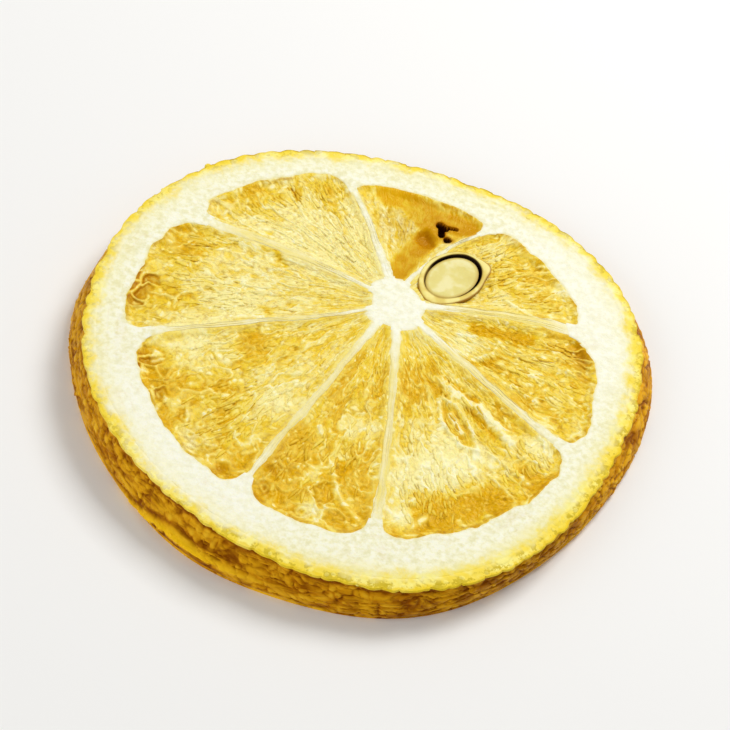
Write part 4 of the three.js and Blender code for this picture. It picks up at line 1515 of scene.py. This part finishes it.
def makeSacs(material):
    look, carrier = sacGrowth, sacCarrier()
    growth = Growth("juiceSacs", {
        **scatterSizes(look, "length", "width", "thickness"),
        "Swing": look["swing"] * degree,
        "Taper": look["taper"],
    })
    spots = growth.scattered(growth.attribute("room"))
    tone = (growth.attribute("tone") + growth.drawn(-0.2, 0.2, 1)).clamp()
    toned = growth.stored(spots, "tone", tone)
    toned = growth.stored(growth.stored(toned, "deep", 0.0), "gap", 0.0)
    at = growth.position(0)
    narrow = 1.2 - (at + 0.5) * growth.given("Taper")
    bow = at * at * 0.8
    sac = growth.moved(growth.ball(), Position=growth.combined(
        at, at.beside(1) * narrow + bow, at.beside(2) * narrow
    ))
    # the sacs' tops are painted pale, a painted highlight
    sac = growth.smooth(growth.stored(sac, "pale", (at.beside(2) * 1.6 - 0.35).clamp()))
    spread = [growth.between(key, i + 3) for i, key in enumerate(("length", "width", "thickness"))]
    swing = growth.drawn(-1.0, 1.0, 7) * growth.given("Swing")
    turn = growth.turned(spots.beside(1), growth.attribute("ahead", "FLOAT_VECTOR"), swing)
    growth.grow(carrier, growth.copies(toned, sac, turn, growth.combined(*spread)), material, "pulp")


glandGrowth = {
    "spacing": 0.62,
    "density": 4.0,
    "size": (0.36, 0.8),
    "height": 0.3,
    "sunk": 0.32,  # of its height
    "onWall": 0.16,
    "seed": 23,
}


def makeGlands(peel, material):
    look = glandGrowth
    carrier = placed("oil_glands", peel.data.copy())
    carrier.data.materials.clear()
    growth = Growth("oilGlands", {
        **scatterSizes(look, "size"),
        "Height": look["height"],
        "Sunk": look["sunk"],
        "On wall": look["onWall"],
    })
    inset, down, pit, bright = (growth.attribute(name) for name in peelFields)
    onRim = inset.rise(0.2, 0.35) * inset.rise(1.2, 0.7) * growth.position(2).rise(0.001, 0.002)
    onWall = down.rise(0.16, 0.24) * down.rise(0.8, 0.7) * growth.given("On wall")
    spots = growth.scattered(onRim + onWall)
    # the glands take on the wall's painted shade and painted highlight
    toned = growth.stored(spots, "pit", (pit * 0.6 + growth.drawn(-0.1, 0.15, 1)).clamp())
    toned = growth.stored(toned, "bright", bright)
    toned = growth.stored(toned, "bead", growth.drawn(0.1, 1.0, 2))
    sunk = growth.combined(0.0, 0.0, 0.0 - growth.given("Sunk"))
    bead = growth.moved(growth.ball(), Position=growth.vector("ADD", growth.position(), sunk))
    size = growth.between("size", 3)
    height = size * growth.given("Height") * (1.0 - down.rise(0.02, 0.06) * 0.5)  # lower on the wall
    spread = growth.combined(size, size * growth.drawn(0.65, 1.0, 4), height)
    turn = growth.turned(spots.beside(1), (0.0, 0.0, 1.0), growth.drawn(-1.5, 1.5, 5))
    growth.grow(carrier, growth.copies(toned, growth.smooth(bead), turn, spread), material, "peel")


fibreGrowth = {
    "lanes": 3,
    "start": (2.6, 6.0),  # least and most, from the core
    "end": (1.0, 3.0),  # before the pith ring
    "clear": 0.9,  # kept free round the kernel
    "step": 0.5,
    "thickness": 0.03,
    "wander": 0.3,
    "waves": 0.55,  # to a millimetre
    "sunk": 0.04,
    "resample": 0.25,
    "sides": 6,
}


def fibreLane(n, lane):
    # one fibre's places along a wall, its links and what its paint needs
    look, wall = fibreGrowth, walls[n]
    begin, finish, aside, strength = (float(chance(n, lane, seed)) for seed in (95, 96, 97, 98))
    far = float(reachOf(wall["ringEnd"], lemon["rimRadius"] - lemon["pithRing"]))
    distance = np.arange(mix(*look["start"], begin), far - mix(*look["end"], finish), look["step"])
    bearing, width = wallAt(n, distance)
    aside = (lane + 0.2 + 0.6 * aside) / look["lanes"] - 0.5
    x, y = pointAt(bearing + 0.8 * aside * width / distance / degree, distance)
    z = upperCut(x, y) + upperWave(x, y) - look["sunk"]
    clear = ovalShare(x, y, pip, look["clear"]) > 1
    links = np.stack([np.arange(len(x) - 1), np.arange(1, len(x))], axis=-1)
    thin = wall["straw"] * rise(1, 7, distance) * (0.6 + 0.5 * strength)
    fields = {"place": np.stack([x, y, z], axis=-1), "thin": thin, "stain": 0 * x, "inset": 0 * x + 9}
    return fields, links[clear[1:] & clear[:-1]]


def makeFibres(material):
    look, parts, edges, first = fibreGrowth, [], [], 0
    for n in range(len(walls)):
        for lane in range(look["lanes"]):
            fields, links = fibreLane(n, lane)
            parts.append(fields)
            edges.append(first + links)
            first += len(fields["place"])
    fields = joined(parts)
    carrier = addMesh("wall_fibres", fields.pop("place"), [], fields, np.concatenate(edges))
    growth = Growth("wallFibres", {
        "Thickness": look["thickness"] * mm,
        "Wander": look["wander"] * mm,
        "Waves": look["waves"] / mm,
        "Step": look["resample"] * mm,
        "Sides": look["sides"],
    })
    given = growth.given
    curve = growth.node("GeometryNodeMeshToCurve", {"Mesh": given("Carrier")})
    resampled = {"Curve": curve, "Length": given("Step")}
    curve = growth.node("GeometryNodeResampleCurve", resampled, mode="LENGTH")
    place = growth.position()
    cloud = growth.noise(place, given("Waves"), 2.0, 0.5, output=1)
    away = growth.vector("MULTIPLY", growth.vector("SUBTRACT", cloud, (0.5, 0.5, 0.5)), (1.0, 1.0, 0.25))
    away = growth.node("ShaderNodeVectorMath", {0: away, "Scale": given("Wander")}, operation="SCALE")
    curve = growth.moved(curve, Offset=away)
    share = growth.node("GeometryNodeSplineParameter")
    thinning = (share * (1.0 - share) * 8.0).clamp() * (0.5 + growth.noise(place, 900.0)) * given("Thickness")
    ring = growth.node("GeometryNodeCurvePrimitiveCircle", {"Resolution": given("Sides"), "Radius": 1.0})
    strand = {"Curve": curve, "Profile Curve": ring, "Scale": thinning, "Fill Caps": True}
    strands = growth.node("GeometryNodeCurveToMesh", strand)
    growth.grow(carrier, growth.smooth(strands), material, "pith")


# Pip: the coat is a bowl with a thick rim, and the kernel lies loose in it

def ovalRing(bearing, oval, grow, share, points=()):
    # points round an oval at a share of its reach
    length, width = oval["length"] / 2 + grow, oval["width"] / 2 + grow
    along, across = length * share * np.cos(bearing), width * share * np.sin(bearing)
    turn = oval["turn"] * degree
    x = along * math.cos(turn) - across * math.sin(turn)
    y = along * math.sin(turn) + across * math.cos(turn)
    drawn = drawnOut(x, y, points)
    return oval["at"][0] + x * drawn, oval["at"][1] + y * drawn


def bowlPiece(name, rows, ends, material):
    # rows of points from one pole to the other; each row also holds its rim share and how much painted shade
    # it has
    grid = np.array([np.stack(np.broadcast_arrays(*row), axis=-1) for row in rows])
    grid = np.concatenate([grid.reshape(-1, 5), ends])
    ids = np.arange(len(grid) - 2).reshape(len(rows), -1)
    faceSets = [gridFaces(ids, True), fanFaces(ids.size, ids[0]), fanFaces(ids.size + 1, ids[-1], True)]
    attributes = {"rim": grid[:, 3], "dark": grid[:, 4]}
    return makePiece(name, grid[:, :3], faceSets, attributes, material, 70)


def makeCoat(material):
    # a bowl with a rounded brim, drawn to a point on one side, with painted shade where the gap is wide
    columns, sideRows, brimRows = pip["coatGrid"]
    bearing = np.linspace(0, 2 * math.pi, columns, endpoint=False)
    level = float(upperCut(*pip["at"]))
    full = pip["gap"] + pip["coat"]
    shift = Vector(pip["shift"])
    opening = {**pip, "at": (pip["at"][0] + shift.x, pip["at"][1] + shift.y)}
    inner = ovalRing(bearing, opening, pip["gap"], 1)
    outer = ovalRing(bearing, pip, full, 1, pip["points"])
    away = (inner[0] - pip["at"][0]) * shift.x + (inner[1] - pip["at"][1]) * shift.y
    gaping = 0.3 + 0.7 * rise(-0.2, 0.25, away / shift.length / pip["length"] * 2)
    rows = []
    for angle in np.linspace(4, 84, sideRows) * degree:
        depth = (pip["depth"] + pip["gap"]) * math.cos(angle)
        rows.append((*ovalRing(bearing, opening, pip["gap"], math.sin(angle)), level - depth, 0.9, gaping))
    for share in np.linspace(0, 1, brimRows):
        x, y = mix(inner[0], outer[0], share), mix(inner[1], outer[1], share)
        crown = pip["rise"] * math.sin(math.pi * share) - 0.03 + 0.025 * waviness(x / 0.7, y / 0.7, 71)
        edge = 0.6 * hill(share, 0.16) + 1.2 * hill(share - 1, 0.16)
        rows.append((x, y, level + crown, edge, 0.8 * (1 - rise(0, 0.12, share)) * gaping))
    for angle in np.linspace(86, 4, sideRows) * degree:
        depth = (pip["depth"] + full) * math.cos(angle)
        rows.append((*ovalRing(bearing, pip, full, math.sin(angle), pip["points"]), level - depth, 1.0, 0.0))
    floor = level - pip["depth"] - pip["gap"]
    ends = [[*opening["at"], floor, 0.7, 1.0], [*pip["at"], floor - pip["coat"], 1.0, 0.0]]
    return bowlPiece("pip_coat", rows, ends, material)


def makeKernel(material):
    columns, faceRows = pip["kernelGrid"]
    bearing = np.linspace(0, 2 * math.pi, columns, endpoint=False)
    level = float(upperCut(*pip["at"]))
    face = level - pip["drop"]
    edge = math.acos(pip["drop"] / pip["depth"])
    rows = []
    for share in np.linspace(0.05, 0.95, faceRows):
        x, y = ovalRing(bearing, pip, 0, share * math.sin(edge))
        crown = 0.03 * uneven(x, y, 0.9, 72) - pip["dish"] * (1 - share**2)
        rows.append((x, y, face + crown, 0.6 * rise(0.86, 0.95, share), 0.0))
    # the sides are painted partly shaded inside the coat, and the lowest pole fully shaded
    angles = [*np.linspace(edge / degree - 1.5, 60, 5), *np.linspace(50, 4, 8)]
    for angle in np.array(angles) * degree:
        x, y = ovalRing(bearing, pip, 0, math.sin(angle))
        rows.append((x, y, level - pip["depth"] * math.cos(angle), 1.0, 0.25))
    ends = [[*pip["at"], face - pip["dish"], 0, 0], [*pip["at"], level - pip["depth"], 1, 1]]
    piece = bowlPiece("kernel", rows, ends, material)
    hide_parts("pip_kernel")


# Floor, lights and camera

def makeStage():
    stage = {
        "floor": tint(244, 243, 240),
        "key": {"at": (150, 240, 300), "size": 170, "watts": 1.2, "aim": (0, 0, 0)},
        "fill": {"at": (-230, -200, 140), "size": 300, "watts": 0.4, "aim": (0, 0, 0)},
        "room": 0.41,
    }
    mesh = bpy.data.meshes.new("floor")
    half = 1.5
    corners = [(-half, -half, 0), (half, -half, 0), (half, half, 0), (-half, half, 0)]
    mesh.from_pydata(corners, [], [(0, 1, 2, 3)])
    paint = Paint("floorPaper")
    mesh.materials.append(paint.finish({"Base Color": stage["floor"], "Roughness": 0.7}))
    placed("floor", mesh)
    for name in ("key", "fill"):
        setup = stage[name]
        light = bpy.data.lights.new(name, "AREA")
        light.size = setup["size"] * mm
        light.energy = setup["watts"]
        lamp = placed(name, light)
        lamp.location = Vector(setup["at"]) * mm
        lamp.rotation_mode = "QUATERNION"
        lamp.rotation_quaternion = (Vector(setup["aim"]) * mm - lamp.location).to_track_quat("-Z", "Y")
    world = bpy.data.worlds.new("room")
    world.use_nodes = True
    world.node_tree.nodes["Background"].inputs["Color"].default_value = (1, 1, 1, 1)
    world.node_tree.nodes["Background"].inputs["Strength"].default_value = stage["room"]
    bpy.context.scene.world = world
    bpy.context.scene.view_settings.view_transform = "Standard"


def makeCamera():
    shot = {"aim": (0.045, -1.757), "elevation": 49, "roll": 11.7, "distance": 260, "fieldOfView": 15.2}
    target = sliceMiddle + Vector((*shot["aim"], lemon["thickness"])) * mm
    lift = math.radians(shot["elevation"])
    away = Vector((0, -math.cos(lift), math.sin(lift)))
    lens = bpy.data.cameras.new("camera")
    lens.angle = math.radians(shot["fieldOfView"])
    lens.clip_start = 0.01
    camera = placed("camera", lens)
    camera.location = target + away * shot["distance"] * mm
    camera.rotation_mode = "QUATERNION"
    roll = Quaternion((0, 0, 1), math.radians(shot["roll"]))
    camera.rotation_quaternion = (-away).to_track_quat("-Z", "Y") @ roll
    bpy.context.scene.camera = camera


makeStage()
makeCamera()
print("stage and camera done")

pithPaint, pulpPaint, peelPaint = makePithPaint(), makePulpPaint(), makePeelPaint()
pithPiece = makePith(pithPaint)
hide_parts("lemon_slice")
peelPiece = makePeel(peelPaint)
for n in range(len(segments)):
    makePulp(n, pulpPaint)
print("pith, peel and pulp done")
makeGlands(peelPiece, peelPaint)
makeSacs(pulpPaint)
makeFibres(pithPaint)
print("grown pieces done")
makeCoat(makePipPaint("pipCoat"))
makeKernel(makePipPaint("pipKernel"))
print("slice done")
